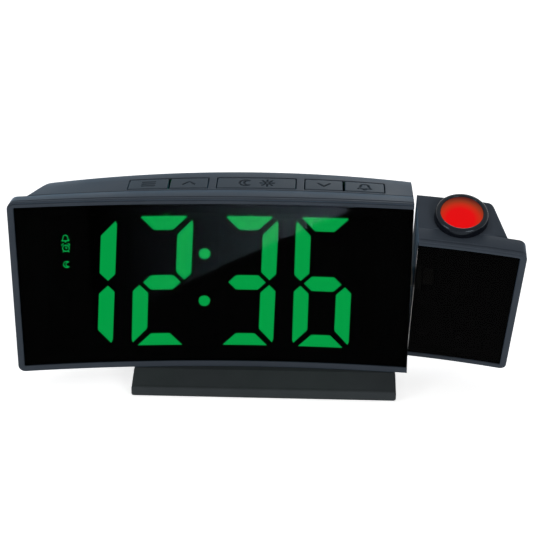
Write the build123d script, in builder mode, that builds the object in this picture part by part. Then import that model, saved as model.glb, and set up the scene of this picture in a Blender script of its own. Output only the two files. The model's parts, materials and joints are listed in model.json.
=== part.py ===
"""Projection alarm clock: a long curved display body on a wide foot, with a projector module that
tilts on a hollow shaft at its right end.

X runs to the right, Y to the back and Z up, in millimetres. The origin is on the table, under the
middle of the clock. The screen is a shallow cylinder, hollow towards the viewer. Every shell
follows it, so plan shapes are given by their depth behind the screen's front arc, and flat pieces
by their depth behind the middle of that arc. The projector module is drawn upright and then
turned about its hinge to its resting tilt.
"""

import os
from math import atan, cos, radians, sqrt, tan

from build123d import *

os.makedirs("parts", exist_ok=True)

# ---- Driving dimensions -----------------------------------------------------------------------
WIDTH = 208.0  # over the front frames of the body and the module
SCREEN_RADIUS = 560.0  # front arc of the screen
FRONT_Y = -7.5  # the arc's rearmost point, at the middle of the clock
BODY_BOTTOM_Z = 8.5
BODY_HEIGHT = 76.0
HOUSING_DEPTH = 25.5  # screen front to back wall
FRAME_DEPTH = 7.5
WALL = 2.0
SEAM = 0.1  # parting line between shells that meet along the arc
MODULE_WIDTH = 42.2  # projector module, over its front frame
SPLIT_GAP = 1.3  # between body and projector module
CORNER_RADIUS = 3.0  # front view corners of the frames
BACK_CORNER_RADIUS = 4.0
SHELL_INSET = 7.0  # the shells' outer ends, where they leave the frame
SLANT_RUN = 5.5  # how far an end leans in from there to the back
REACH = 130.0  # half length of every cutting tool

# Top of the display body: ruled between two profiles, hollow in front and crowned at the back.
# Each has its depth, its height over the frame in the middle, and that at CROWN_SPAN from there.
CROWN_X = -6.0
CROWN_SPAN = 78.0
CROWN_PROFILES = [(-10.8, -1.7, -0.2), (29.2, 4.9, 1.0)]
TOP_EDGE_RADIUS = 1.5

# Windows and the ledges behind them
SIDE_LIP = 2.6
TOP_LIP = 2.5  # and bottom
WINDOW_RECESS = 0.4
WINDOW_THICKNESS = 2.0
WINDOW_CLEARANCE = 0.1
LEDGE = 4.5  # behind the window's top and bottom
LEFT_LEDGE = 14.0  # from the frame's left end
RIGHT_LEDGE = 14.5  # beside the hinge
RIGHT_LEDGE_THICKNESS = 2.0
MODULE_LEDGE = 10.0

# Display
DIGIT_MARGIN = 2.1  # above and below the digits
DIGIT_LEFT_MARGIN, DIGIT_RIGHT_MARGIN = 3.175, 9.775
DIGIT_SPACE = 7.7
STROKE_WIDTH = 6.25  # upright segments
STROKE_HEIGHT = 5.4  # top and bottom segments
MIDDLE_HEIGHT = 6.4
CORNER_CUT = 2.7  # end of a top segment to the digit's side
SEGMENT_GAP = 2.4  # along X, between the slanted ends of two segments
TIP_FLAT = 0.5  # blunt outer end of an upright segment
COLON_SPACE = 3.95  # extra pitch over the colon
COLON_Z = 2.1  # above the middle of the digits
COLON_PITCH = 21.3
COLON_RADIUS = 2.35
LEAN_LEFT = radians(4.2)  # lean of the leftmost digit
LEAN_RIGHT = radians(1.2)
TIME = "1236"
LIT = {"1": "bc", "2": "abged", "3": "abgcd", "6": "afgedc"}
SEGMENTS = ["abcdeg", "abcdefg", "abcdefg", "abcdefg"]  # the icons take the first digit's f
DIFFUSER_THICKNESS = 2.0
SEGMENT_LED_SIZE = (2.0, 1.6)
SEGMENT_LED_HEIGHT = 0.8
POCKET_CLEARANCE = 0.15
ICON_MARGIN = 8.0  # middle of the icons from the left ledge
BELL_ICON = (20.5, 5.0, 3.2)  # height above the middle, then width and height
ALARM_ICON = (16.6, 3.8, 4.0)
PM_ICON = (9.0, 5.2, 3.0)

# Display block and main board
REFLECTOR_CLEARANCE = 0.2
REFLECTOR_DROP = 9.3  # its top, below the top of the frame
BOARD_DEPTH = 12.2
BOARD_THICKNESS = 1.6
BOARD_LEFT_MARGIN = 2.0  # from the left ledge
BOARD_RIGHT_MARGIN = 10.0  # from the body's right end
BOARD_RISE, BOARD_DROP = 8.5, 9.5  # its bottom and top edges, from the frame's
LEFT_SCREW_RISE = 13.5  # of the two left board screws, from the middle
LEFT_SCREW_INSET, HIGH_SCREW_INSET = 12.0, 14.5  # from the board's left edge
RIGHT_SCREW_INSET = 9.0
LOW_EDGE_INSET, TOP_EDGE_INSET = 5.0, 3.0  # of the two right board screws

# Buttons: left, middle and right plates; the outer plates are split in two
BUTTON_FRONT_DEPTH, BUTTON_BACK_DEPTH = 9.0, 18.3
BUTTONS_LEFT = 47.0  # from the frame's left end to the first button
BUTTONS_RIGHT = 11.6  # from the last button to the body's right end
OUTER_BUTTON, INNER_BUTTON = 16.3, 15.7  # widths; the snooze button takes what is left
BUTTON_SLIT = 0.8  # between two buttons in one opening
BUTTON_BRIDGE = 3.8  # between two openings
BUTTON_CLEARANCE = 0.2
BUTTON_PROUD = 0.2
BUTTON_TRAVEL = 0.5
FLANGE_WIDTH = 0.8
FLANGE_THICKNESS = 1.0
FLANGE_CLEARANCE = 0.1
POST_RADIUS = 1.8
SWITCH_SIZE = 6.0
SWITCH_HEIGHT = 2.5
PLUNGER_RADIUS = 1.7
PLUNGER_HEIGHT = 0.8
BUTTON_BOARD_DROP = 8.9  # its underside, below the top of the frame
BUTTON_BOARD_THICKNESS = 1.2
BUTTON_BOARD_ENDS = (7.0, 4.6)  # past the first and the last button
BUTTON_BOARD_DEPTH = (7.2, 18.2)
BUTTON_BOARD_SCREW_INSETS = (3.0, 2.5)
BUTTON_BOARD_SCREW_DEPTH = 16.0

# Screws
CASE_SCREW_INSET = 3.8  # from the top and bottom faces
CASE_SCREW_MARGINS = (20.0, 5.0)  # from the frame's left end and the body's right end
MODULE_SCREW_MARGINS = (5.3, 20.0)  # from the module's two ends
BOSS_RADIUS = 3.2
BOSS_FLOOR = 4.0
HEAD_RADIUS = 2.2
HEAD_HEIGHT = 1.5
HEAD_CLEARANCE = 0.3
SHANK_RADIUS = 1.1
SHANK_CLEARANCE = 0.2
THREAD_DEPTH = 4.0  # of a case screw in the frame
PILOT_SPARE = 0.4  # a blind hole is this much deeper than its screw
CROSS_WIDTH = 0.5  # recess for the driver
CROSS_DEPTH = 0.6
SMALL_HEAD_RADIUS = 1.6
SMALL_HEAD_HEIGHT = 1.0
SMALL_SHANK_RADIUS = 0.8
BOARD_THREAD_DEPTH = 5.0
SMALL_THREAD_DEPTH = 3.6

# Hinge of the projector module
HINGE_DEPTH = 9.2
HINGE_RISE = 1.5  # above the middle
PROJECTOR_TILT = 27.93  # degrees, top towards the viewer
SHAFT_RADIUS = 3.0
SHAFT_BORE = 1.9
SHAFT_REACH = 8.0  # into the display body
SHAFT_FLANGE_RADIUS = 5.5
SHAFT_FLANGE = 1.5
SHAFT_CLEARANCE = 0.05
BUSH_RADIUS = 4.0
BUSH_FLANGE_RADIUS = 6.0
BUSH_FLANGE = 2.0
WASHER_THICKNESS = 0.6
CLIP_THICKNESS = 0.7
CLIP_GROOVE = 0.4
CLIP_RADIUS = 5.0
CLIP_MOUTH = 3.0
THRUST_CLEARANCE = 0.1
HARNESS_RADIUS = 1.4
HEADER_WIDTH, HEADER_HEIGHT = 4.0, 6.0
HEADER_DEPTH = 7.0
PLUG_GAP = 1.2  # from the shaft's flange to the module's plug

# Projector optics, round an upright axis
LENS_MARGIN = 17.2  # from the module's left end
RING_RADIUS = 10.4
RING_RISE = 4.0
RING_GAP = 0.3
RING_FLOOR = 0.8
RING_FLARE = 0.2
LENS_RADIUS = 8.4
LENS_THICKNESS = 1.9
LENS_CROWN = 0.5
LENS_CLEARANCE = 0.1
NECK_RADIUS = 5.5
NECK_WALL = 1.0
NECK_LENGTH = 12.0
NECK_CLEARANCE = 0.1
BARREL_WALL = 0.8
BARREL_DROP = 10.0  # its bottom, below the hinge
SHELF_WIDTH = 1.4
SHELF_THICKNESS = 1.0
MODULE_TOP_CHAMFER = 1.2
LCD_RISE = 12.0  # above the hinge
LCD_SIZE = 7.4
LCD_THICKNESS = 1.1
CONDENSER_THICKNESS = 2.4
CONDENSER_CROWN = 1.6
LED_RADIUS = 2.5
LED_HEIGHT = 6.5
LED_DOME = 2.2
LAMP_BOARD_REACH = (12.0, 9.0)  # to the left and right of the lamp
LAMP_BOARD_WIDTH = 12.0
LAMP_BOARD_THICKNESS = 1.2
LEAD_RADIUS = 0.6

# Parts at the back of the main board
DC_X, USB_X = -40.0, -16.0
SOCKET_RISE = 18.5  # above the body's bottom
DC_SIZE = 9.0
DC_NOSE_RADIUS = 3.8
DC_BORE = 2.8
DC_PIN_RADIUS = 1.0
DC_FLOOR = 2.3
USB_WIDTH, USB_HEIGHT = 13.2, 5.7
USB_SHELL = 0.5
USB_FLOOR = 3.0
TONGUE_WIDTH = 11.2
TONGUE_THICKNESS = 1.8
TONGUE_RISE = 0.9
SOCKET_CLEARANCE = 0.2
CELL_X = 14.0
CELL_RISE = 0.5  # above the middle
CELL_RADIUS = 10.0
CELL_THICKNESS = 3.2
CELL_CHAMFER = 0.3
CELL_CLEARANCE = 0.5
CONTACT_THICKNESS = 0.3
CONTACT_RADIUS = 4.0
CONTACT_HOLES = 3
CONTACT_HOLE_RING = 2.0
CONTACT_HOLE_RADIUS = 0.7
CELL_END_GAP = 0.05  # from the cell to its cover
CUP_WALL = 1.4
COVER_RADIUS = 12.0
COVER_THICKNESS = 2.5
COVER_CLEARANCE = 0.15
COIN_SLOT = (13.0, 1.8, 1.2)
BUZZER_X = -66.0
BUZZER_RISE = 5.5  # above the middle
BUZZER_RADIUS = 7.0
BUZZER_GAP = 0.7  # from the buzzer to the back wall
BUZZER_PORT_RADIUS = 1.2
BUZZER_PORT_DEPTH = 2.2
SLOT_COUNT = 5
SLOT_PITCH = 2.8
SLOT_SIZE = (12.0, 1.3)
CHIP_X, CRYSTAL_X = -14.0, -30.0
CHIP_RISE = 13.5  # above the middle
CHIP_SIZE = (10.0, 10.0, 1.4)
CRYSTAL_SIZE = (3.2, 8.0, 2.5)
CRYSTAL_CORNER = 1.1

# Foot
FOOT_WIDTH = 111.5
FOOT_FRONT, FOOT_BACK = -13.0, 33.2  # depths
FOOT_LIFT = 0.6  # the pads stand this far out
FOOT_NOSE_HEIGHT = 4.0  # of the front face
FOOT_CREASE_DEPTH = -11.5
FOOT_CREASE_Z = 4.9
FOOT_SHELF = (-3.2, 24.2)  # depths of the flat that carries the body
FOOT_TAIL_Z = 5.0
FOOT_EDGE_RADIUS = 0.7
FOOT_SOLID_END = 13.5
FOOT_RIM = 4.0
FOOT_PLATE = 4.3
PAD_RADIUS = 4.0
PAD_HEIGHT = 1.4
PAD_CLEARANCE = 0.05
PAD_X = 48.5
PAD_DEPTHS = (-5.3, 26.7)
FOOT_SCREW_X, FOOT_SCREW_DEPTH = 30.0, 17.7
FOOT_THREAD = 6.0

# ---- Places worked out from them --------------------------------------------------------------
BODY_TOP_Z = BODY_BOTTOM_Z + BODY_HEIGHT
MIDDLE_Z = BODY_BOTTOM_Z + BODY_HEIGHT / 2
LEFT_X, RIGHT_X = -WIDTH / 2, WIDTH / 2
MODULE_X = RIGHT_X - MODULE_WIDTH
SPLIT_X = MODULE_X - SPLIT_GAP  # right end of the display body
WINDOW_HEIGHT = BODY_HEIGHT - 2 * TOP_LIP
WINDOW_SEAT = WINDOW_RECESS + WINDOW_THICKNESS + WINDOW_CLEARANCE
WINDOW_BOTTOM_Z = MIDDLE_Z - WINDOW_HEIGHT / 2
LEDGE_BOTTOM_Z = WINDOW_BOTTOM_Z + LEDGE
LEDGE_HEIGHT = WINDOW_HEIGHT - 2 * LEDGE
LEDGE_TOP_Z = LEDGE_BOTTOM_Z + LEDGE_HEIGHT
LEDGE_LEFT_X = LEFT_X + LEFT_LEDGE
LEDGE_RIGHT_X = SPLIT_X - RIGHT_LEDGE
DIGIT_HEIGHT = LEDGE_HEIGHT - 2 * DIGIT_MARGIN
DIGITS_LEFT_X = LEDGE_LEFT_X + DIGIT_LEFT_MARGIN
DIGITS_RIGHT_X = LEDGE_RIGHT_X - DIGIT_RIGHT_MARGIN
SPACES = (len(TIME) - 1) * DIGIT_SPACE + COLON_SPACE
DIGIT_WIDTH = (DIGITS_RIGHT_X - DIGITS_LEFT_X - SPACES) / len(TIME)
DIGIT_PITCH = DIGIT_WIDTH + DIGIT_SPACE
COLON_X = (DIGITS_LEFT_X + DIGITS_RIGHT_X) / 2
ICON_X = LEDGE_LEFT_X + ICON_MARGIN
BEHIND_FRAME = FRAME_DEPTH + WALL
SHELL_FRONT = FRAME_DEPTH + SEAM
SLANT = atan(SLANT_RUN / (HOUSING_DEPTH - FRAME_DEPTH))
REFLECTOR_TOP_Z = BODY_TOP_Z - REFLECTOR_DROP
BOARD_FRONT_Y = FRONT_Y + BOARD_DEPTH
BOARD_BACK_Y = BOARD_FRONT_Y + BOARD_THICKNESS
BOARD_LEFT_X = LEDGE_LEFT_X + BOARD_LEFT_MARGIN
BOARD_RIGHT_X = SPLIT_X - BOARD_RIGHT_MARGIN
BOARD_BOTTOM_Z = BODY_BOTTOM_Z + BOARD_RISE
BOARD_TOP_Z = BODY_TOP_Z - BOARD_DROP
BOARD_SCREWS = [
    (BOARD_LEFT_X + LEFT_SCREW_INSET, MIDDLE_Z - LEFT_SCREW_RISE),
    (BOARD_LEFT_X + HIGH_SCREW_INSET, MIDDLE_Z + LEFT_SCREW_RISE),
    (BOARD_RIGHT_X - RIGHT_SCREW_INSET, BOARD_BOTTOM_Z + LOW_EDGE_INSET),
    (BOARD_RIGHT_X - RIGHT_SCREW_INSET, BOARD_TOP_Z - TOP_EDGE_INSET),
]
MODE_X = LEFT_X + BUTTONS_LEFT
UP_X = MODE_X + OUTER_BUTTON + BUTTON_SLIT
SNOOZE_X = UP_X + INNER_BUTTON + BUTTON_BRIDGE
ALARM_X = SPLIT_X - BUTTONS_RIGHT - OUTER_BUTTON
DOWN_X = ALARM_X - BUTTON_SLIT - INNER_BUTTON
BUTTON_EDGES = {
    "mode_button": (MODE_X, MODE_X + OUTER_BUTTON),
    "up_button": (UP_X, UP_X + INNER_BUTTON),
    "snooze_button": (SNOOZE_X, DOWN_X - BUTTON_BRIDGE),
    "down_button": (DOWN_X, DOWN_X + INNER_BUTTON),
    "alarm_button": (ALARM_X, ALARM_X + OUTER_BUTTON),
}
BUTTON_BOARD_Z = BODY_TOP_Z - BUTTON_BOARD_DROP
BUTTON_BOARD_TOP_Z = BUTTON_BOARD_Z + BUTTON_BOARD_THICKNESS
BUTTON_BOARD_LEFT_X = MODE_X - BUTTON_BOARD_ENDS[0]
BUTTON_BOARD_RIGHT_X = ALARM_X + OUTER_BUTTON + BUTTON_BOARD_ENDS[1]
BUTTON_BOARD_SCREW_Y = FRONT_Y + BUTTON_BOARD_SCREW_DEPTH
BUTTON_BOARD_SCREWS = [
    (BUTTON_BOARD_LEFT_X + BUTTON_BOARD_SCREW_INSETS[0], BUTTON_BOARD_SCREW_Y),
    (BUTTON_BOARD_RIGHT_X - BUTTON_BOARD_SCREW_INSETS[1], BUTTON_BOARD_SCREW_Y),
]
PLUNGER_TOP_Z = BUTTON_BOARD_TOP_Z + SWITCH_HEIGHT + PLUNGER_HEIGHT
BUTTON_MIDDLE_DEPTH = (BUTTON_FRONT_DEPTH + BUTTON_BACK_DEPTH) / 2
HINGE_Y = FRONT_Y + HINGE_DEPTH
HINGE_Z = MIDDLE_Z + HINGE_RISE
LENS_X = MODULE_X + LENS_MARGIN
BARREL_BOTTOM_Z = HINGE_Z - BARREL_DROP
LCD_Z = HINGE_Z + LCD_RISE
CONDENSER_Z = HINGE_Z
SOCKET_Z = BODY_BOTTOM_Z + SOCKET_RISE
CELL_Z = MIDDLE_Z + CELL_RISE
BUZZER_Z = MIDDLE_Z + BUZZER_RISE
CHIP_Z = MIDDLE_Z + CHIP_RISE
BARREL_BORE = NECK_RADIUS + NECK_CLEARANCE
BARREL_RADIUS = BARREL_BORE + BARREL_WALL
LOW_SCREW_Z = BODY_BOTTOM_Z + CASE_SCREW_INSET
HIGH_SCREW_Z = BODY_TOP_Z - CASE_SCREW_INSET
CASE_SCREW_X = (LEFT_X + CASE_SCREW_MARGINS[0], SPLIT_X - CASE_SCREW_MARGINS[1])
MODULE_SCREW_X = (MODULE_X + MODULE_SCREW_MARGINS[0], RIGHT_X - MODULE_SCREW_MARGINS[1])
CASE_SCREWS = [(x, z) for x in CASE_SCREW_X for z in (LOW_SCREW_Z, HIGH_SCREW_Z)]
MODULE_SCREWS = [(MODULE_SCREW_X[0], HIGH_SCREW_Z)] + [(x, LOW_SCREW_Z) for x in MODULE_SCREW_X]
FOOT_SCREWS = [(x, FRONT_Y + FOOT_SCREW_DEPTH) for x in (-FOOT_SCREW_X, FOOT_SCREW_X)]
PAD_PLACES = [(x, FRONT_Y + depth) for x in (-PAD_X, PAD_X) for depth in PAD_DEPTHS]
HINGE_AXIS = Axis((0, HINGE_Y, HINGE_Z), (1, 0, 0))
FLOOR_Z = BODY_BOTTOM_Z + WALL


def arc_y(x, depth):
    """Y of the arc that lies depth behind the screen's front."""
    return FRONT_Y - SCREEN_RADIUS + sqrt((SCREEN_RADIUS + depth) ** 2 - x * x)


def on_arc(x, depth):
    return (x, arc_y(x, depth))


def screen_arc(x0, x1, depth):
    """Adds the stretch of an arc from x0 to x1 to the line that is being drawn."""
    return ThreePointArc(on_arc(x0, depth), on_arc((x0 + x1) / 2, depth), on_arc(x1, depth))


def band(x0, x1, front, back):
    """Plan between two depths and two planes across X."""
    with BuildSketch() as plan:
        with BuildLine():
            screen_arc(x0, x1, front)
            Line(on_arc(x1, front), on_arc(x1, back))
            screen_arc(x1, x0, back)
            Line(on_arc(x0, back), on_arc(x0, front))
        make_face()
    return plan.sketch


def curved_slab(x0, x1, front, back, z0, z1):
    """A band carried up from z0 to z1."""
    with BuildPart() as slab:
        with BuildSketch(Plane.XY.offset(z0)):
            add(band(x0, x1, front, back))
        extrude(amount=z1 - z0)
    return slab.part


def slant_x(depth, inset):
    """Distance from the middle to a shell's slanted end."""
    return RIGHT_X - SHELL_INSET - (depth - FRAME_DEPTH) * tan(SLANT) - inset / cos(SLANT)


def shell_plan(flat_x, side, front, inset):
    """Plan of a rear shell from its flat end to its slanted end, moved in by inset."""
    near = flat_x + side * inset
    back = HOUSING_DEPTH - inset
    far_front = side * slant_x(front, inset)
    far_back = side * slant_x(back, inset)
    with BuildSketch() as plan:
        with BuildLine():
            screen_arc(near, far_front, front)
            Line(on_arc(far_front, front), on_arc(far_back, back))
            screen_arc(far_back, near, back)
            Line(on_arc(near, back), on_arc(near, front))
        make_face()
        corner = plan.vertices().sort_by_distance((*on_arc(far_back, back), 0))[0]
        fillet(corner, BACK_CORNER_RADIUS - inset)
    return plan.sketch


def crown_layer(drop, thickness):
    """Layer of the given thickness whose top is the body's crowned top, lowered by drop."""
    with BuildPart() as layer:
        for depth, middle, side in CROWN_PROFILES:
            end = middle + (side - middle) * (REACH / CROWN_SPAN) ** 2
            top_z, end_z = BODY_TOP_Z + middle - drop, BODY_TOP_Z + end - drop
            left, right = CROWN_X - REACH, CROWN_X + REACH
            with BuildSketch(Plane.XZ.offset(-FRONT_Y - depth)):
                with BuildLine():
                    ThreePointArc((left, end_z), (CROWN_X, top_z), (right, end_z))
                    Line((right, end_z), (right, end_z - thickness))
                    ThreePointArc(
                        (right, end_z - thickness),
                        (CROWN_X, top_z - thickness),
                        (left, end_z - thickness),
                    )
                    Line((left, end_z - thickness), (left, end_z))
                make_face()
        loft(ruled=True)
    return layer.part


def under_crown(x0, x1, front, back, drop, thickness):
    """A band of one crown layer, as the buttons and their flanges are."""
    with BuildPart() as piece:
        add(curved_slab(x0, x1, front, back, MIDDLE_Z, BODY_TOP_Z + REACH))
        add(crown_layer(drop, thickness), mode=Mode.INTERSECT)
    return piece.part


def hanging_post(place, bottom_z, drop):
    """Post from bottom_z up to the crowned top, lowered by drop."""
    with BuildPart() as post:
        with BuildSketch(Plane.XY.offset(bottom_z)):
            with Locations(place):
                Circle(POST_RADIUS)
        extrude(amount=REACH)
        add(crown_layer(drop, 2 * REACH), mode=Mode.INTERSECT)
    return post.part


def boss_seat_y(x):
    """Y where the head of a case screw at x seats."""
    return arc_y(x, SHELL_FRONT) + BOSS_FLOOR


def case_bosses(places):
    """Screw bosses that run from the back wall to the frame."""
    with BuildPart() as bosses:
        for x, z in places:
            with BuildSketch(Plane.XZ.offset(-arc_y(x, HOUSING_DEPTH - WALL / 2))):
                with Locations((x, z)):
                    Circle(BOSS_RADIUS)
            extrude(amount=HOUSING_DEPTH - WALL / 2)
    return bosses.part


def case_screw_holes(places):
    """Counterbored holes for the case screws, open to the back."""
    with BuildPart() as holes:
        for x, z in places:
            with BuildSketch(Plane.XZ.offset(-boss_seat_y(x))):
                with Locations((x, z)):
                    Circle(HEAD_RADIUS + HEAD_CLEARANCE)
            extrude(amount=-HOUSING_DEPTH)
            with BuildSketch(Plane.XZ.offset(-boss_seat_y(x))):
                with Locations((x, z)):
                    Circle(SHANK_RADIUS + SHANK_CLEARANCE)
            extrude(amount=BOSS_FLOOR + SEAM + BOSS_RADIUS)
    return holes.part


def pilot_holes(places):
    """Blind holes in a frame for the case screws."""
    with BuildPart() as holes:
        for x, z in places:
            with BuildSketch(Plane.XZ.offset(-boss_seat_y(x))):
                with Locations((x, z)):
                    Circle(SHANK_RADIUS)
            extrude(amount=BOSS_FLOOR + SEAM + THREAD_DEPTH + PILOT_SPARE)
    return holes.part


def screws_along_y(places, seat, head_radius, head_height, shank_radius, length):
    """Screws put in from the back, with their heads seated at y = seat(x)."""
    with BuildPart() as screws:
        for x, z in places:
            with BuildSketch(Plane.XZ.offset(-seat(x))):
                with Locations((x, z)):
                    Circle(head_radius)
            extrude(amount=-head_height)
            with BuildSketch(Plane.XZ.offset(-seat(x))):
                with Locations((x, z)):
                    Circle(shank_radius)
            extrude(amount=length)
            with BuildSketch(Plane.XZ.offset(-seat(x) - head_height)):
                with Locations((x, z)):
                    Rectangle(head_radius, CROSS_WIDTH)
                    Rectangle(CROSS_WIDTH, head_radius)
            extrude(amount=CROSS_DEPTH, mode=Mode.SUBTRACT)
    return screws.part


def save(name, part, tilted=False):
    """Labels a finished piece and writes its file, turned with the module where tilted."""
    piece = part.rotate(HINGE_AXIS, PROJECTOR_TILT) if tilted else part
    piece.label = name
    export_step(piece, f"parts/{name}.step")


# ---- Front frame of the display body ----------------------------------------------------------
with BuildPart() as front_frame:
    add(curved_slab(LEFT_X, SPLIT_X, 0, FRAME_DEPTH, BODY_BOTTOM_Z, BODY_TOP_Z))
    fillet(front_frame.edges().filter_by(Axis.Y).group_by(Axis.X)[0], CORNER_RADIUS)
    add(
        curved_slab(
            LEFT_X + SIDE_LIP,
            SPLIT_X + WALL,
            -WALL,
            WINDOW_SEAT,
            WINDOW_BOTTOM_Z,
            WINDOW_BOTTOM_Z + WINDOW_HEIGHT,
        ),
        mode=Mode.SUBTRACT,
    )
    add(
        curved_slab(
            LEDGE_LEFT_X, LEDGE_RIGHT_X, 0, BEHIND_FRAME, LEDGE_BOTTOM_Z, LEDGE_TOP_Z
        ),
        mode=Mode.SUBTRACT,
    )
    # hollow behind the right ledge, where the hinge's bush and clip turn
    add(
        curved_slab(
            LEDGE_RIGHT_X - WALL,
            SPLIT_X - WALL,
            WINDOW_SEAT + RIGHT_LEDGE_THICKNESS,
            BEHIND_FRAME,
            LEDGE_BOTTOM_Z,
            LEDGE_TOP_Z,
        ),
        mode=Mode.SUBTRACT,
    )
    add(pilot_holes(CASE_SCREWS), mode=Mode.SUBTRACT)
save("front_frame", front_frame.part)

# ---- Smoked window in front of the digits -----------------------------------------------------
with BuildPart() as display_window:
    add(
        curved_slab(
            LEFT_X + SIDE_LIP + WINDOW_CLEARANCE,
            SPLIT_X,
            WINDOW_RECESS,
            WINDOW_RECESS + WINDOW_THICKNESS,
            WINDOW_BOTTOM_Z + WINDOW_CLEARANCE,
            WINDOW_BOTTOM_Z + WINDOW_HEIGHT - WINDOW_CLEARANCE,
        )
    )
save("display_window", display_window.part)


# ---- Digits -----------------------------------------------------------------------------------
def segment_corners(letter):
    """Corners of one segment about the middle of an upright digit, a to g as usual."""
    side = DIGIT_WIDTH / 2
    top = DIGIT_HEIGHT / 2
    inner = side - STROKE_WIDTH
    half_middle = MIDDLE_HEIGHT / 2
    half_gap = SEGMENT_GAP / 2
    long = side - CORNER_CUT
    if letter == "g":
        tip = inner + half_middle - half_gap
        flat = tip - half_middle
        return [
            (-tip, 0),
            (-flat, half_middle),
            (flat, half_middle),
            (tip, 0),
            (flat, -half_middle),
            (-flat, -half_middle),
        ]
    if letter in "ad":
        short = long - STROKE_HEIGHT
        corners = [(-long, top), (long, top), (short, top - STROKE_HEIGHT)]
        corners.append((-short, top - STROKE_HEIGHT))
    else:
        peak = top - CORNER_CUT + half_gap
        corners = [
            (side - TIP_FLAT, peak),
            (side, peak - half_gap),
            (side, half_gap + CORNER_CUT),
            (side - CORNER_CUT, half_gap),
            (inner, half_gap + STROKE_WIDTH - CORNER_CUT),
            (inner, peak - STROKE_WIDTH),
        ]
    across = -1 if letter in "ef" else 1
    upward = -1 if letter in "dce" else 1
    return [(across * u, upward * v) for u, v in corners]


def digit_x(index):
    """Middle of a digit, counted from the left; the colon widens the second gap."""
    from_colon = index - (len(TIME) - 1) / 2
    spread = COLON_SPACE / 2 if from_colon > 0 else -COLON_SPACE / 2
    return COLON_X + from_colon * DIGIT_PITCH + spread


def segment_outlines(lit):
    """Outlines of all lit, or all unlit, segments on the front view."""
    outlines = []
    for index, numeral in enumerate(TIME):
        share = index / (len(TIME) - 1)
        lean = tan(LEAN_LEFT + share * (LEAN_RIGHT - LEAN_LEFT))
        for letter in SEGMENTS[index]:
            if (letter in LIT[numeral]) == lit:
                outlines.append(
                    [
                        (digit_x(index) + u + lean * v, MIDDLE_Z + v)
                        for u, v in segment_corners(letter)
                    ]
                )
    return outlines


LIT_OUTLINES = segment_outlines(True)
UNLIT_OUTLINES = segment_outlines(False)
COLON_DOTS = [
    (COLON_X + rise * tan(LEAN_RIGHT), MIDDLE_Z + COLON_Z + rise)
    for rise in (-COLON_PITCH / 2, COLON_PITCH / 2)
]
ICONS = [
    (ICON_X, MIDDLE_Z + rise, width, height)
    for rise, width, height in (BELL_ICON, ALARM_ICON, PM_ICON)
]

DIFFUSER_FRONT = WINDOW_SEAT
DIFFUSER_BACK = DIFFUSER_FRONT + DIFFUSER_THICKNESS
diffuser_layer = curved_slab(
    -REACH, REACH, DIFFUSER_FRONT, DIFFUSER_BACK, BODY_BOTTOM_Z, BODY_TOP_Z
)

with BuildPart() as lit_segments:
    with BuildSketch(Plane.XZ.offset(-BOARD_FRONT_Y)):
        for outline in LIT_OUTLINES:
            Polygon(*outline, align=None)
    extrude(amount=REACH)
    add(diffuser_layer, mode=Mode.INTERSECT)
save("lit_segments", lit_segments.part)

with BuildPart() as unlit_segments:
    with BuildSketch(Plane.XZ.offset(-BOARD_FRONT_Y)):
        for outline in UNLIT_OUTLINES:
            Polygon(*outline, align=None)
    extrude(amount=REACH)
    add(diffuser_layer, mode=Mode.INTERSECT)
save("unlit_segments", unlit_segments.part)

with BuildPart() as colon_dots:
    with BuildSketch(Plane.XZ.offset(-BOARD_FRONT_Y)):
        with Locations(*COLON_DOTS):
            Circle(COLON_RADIUS)
    extrude(amount=REACH)
    add(diffuser_layer, mode=Mode.INTERSECT)
save("colon_dots", colon_dots.part)

with BuildPart() as indicator_icons:
    with BuildSketch(Plane.XZ.offset(-BOARD_FRONT_Y)):
        for x, z, width, height in ICONS:
            with Locations((x, z)):
                Rectangle(width, height)
    extrude(amount=REACH)
    add(diffuser_layer, mode=Mode.INTERSECT)
save("indicator_icons", indicator_icons.part)

# Block of light wells: curved in front, flat at the back where the board closes it
with BuildPart() as light_wells:
    add(
        curved_slab(
            LEDGE_LEFT_X + REFLECTOR_CLEARANCE,
            LEDGE_RIGHT_X - REFLECTOR_CLEARANCE,
            DIFFUSER_FRONT,
            REACH,
            LEDGE_BOTTOM_Z + REFLECTOR_CLEARANCE,
            REFLECTOR_TOP_Z,
        )
    )
    with BuildSketch(Plane.XZ.offset(-BOARD_FRONT_Y)):
        Rectangle(2 * REACH, 2 * REACH)
    extrude(amount=-2 * REACH, mode=Mode.SUBTRACT)
    with BuildSketch(Plane.XZ.offset(-BOARD_FRONT_Y)):
        for outline in LIT_OUTLINES + UNLIT_OUTLINES:
            Polygon(*outline, align=None)
        with Locations(*COLON_DOTS):
            Circle(COLON_RADIUS)
        for x, z, width, height in ICONS:
            with Locations((x, z)):
                Rectangle(width, height)
        offset(amount=POCKET_CLEARANCE, kind=Kind.INTERSECTION)
    extrude(amount=REACH, mode=Mode.SUBTRACT)
    with BuildSketch(Plane.XZ.offset(-BOARD_FRONT_Y)):
        with Locations(*BOARD_SCREWS):
            Circle(SMALL_SHANK_RADIUS)
    extrude(amount=BOARD_THREAD_DEPTH + PILOT_SPARE, mode=Mode.SUBTRACT)
save("light_wells", light_wells.part)

# ---- Main board and what it carries -----------------------------------------------------------
with BuildPart() as main_board:
    with BuildSketch(Plane.XZ.offset(-BOARD_BACK_Y)):
        with Locations(((BOARD_LEFT_X + BOARD_RIGHT_X) / 2, (BOARD_BOTTOM_Z + BOARD_TOP_Z) / 2)):
            Rectangle(BOARD_RIGHT_X - BOARD_LEFT_X, BOARD_TOP_Z - BOARD_BOTTOM_Z)
        with Locations(*BOARD_SCREWS):
            Circle(SMALL_SHANK_RADIUS + SHANK_CLEARANCE, mode=Mode.SUBTRACT)
    extrude(amount=BOARD_THICKNESS)
save("main_board", main_board.part)

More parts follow.
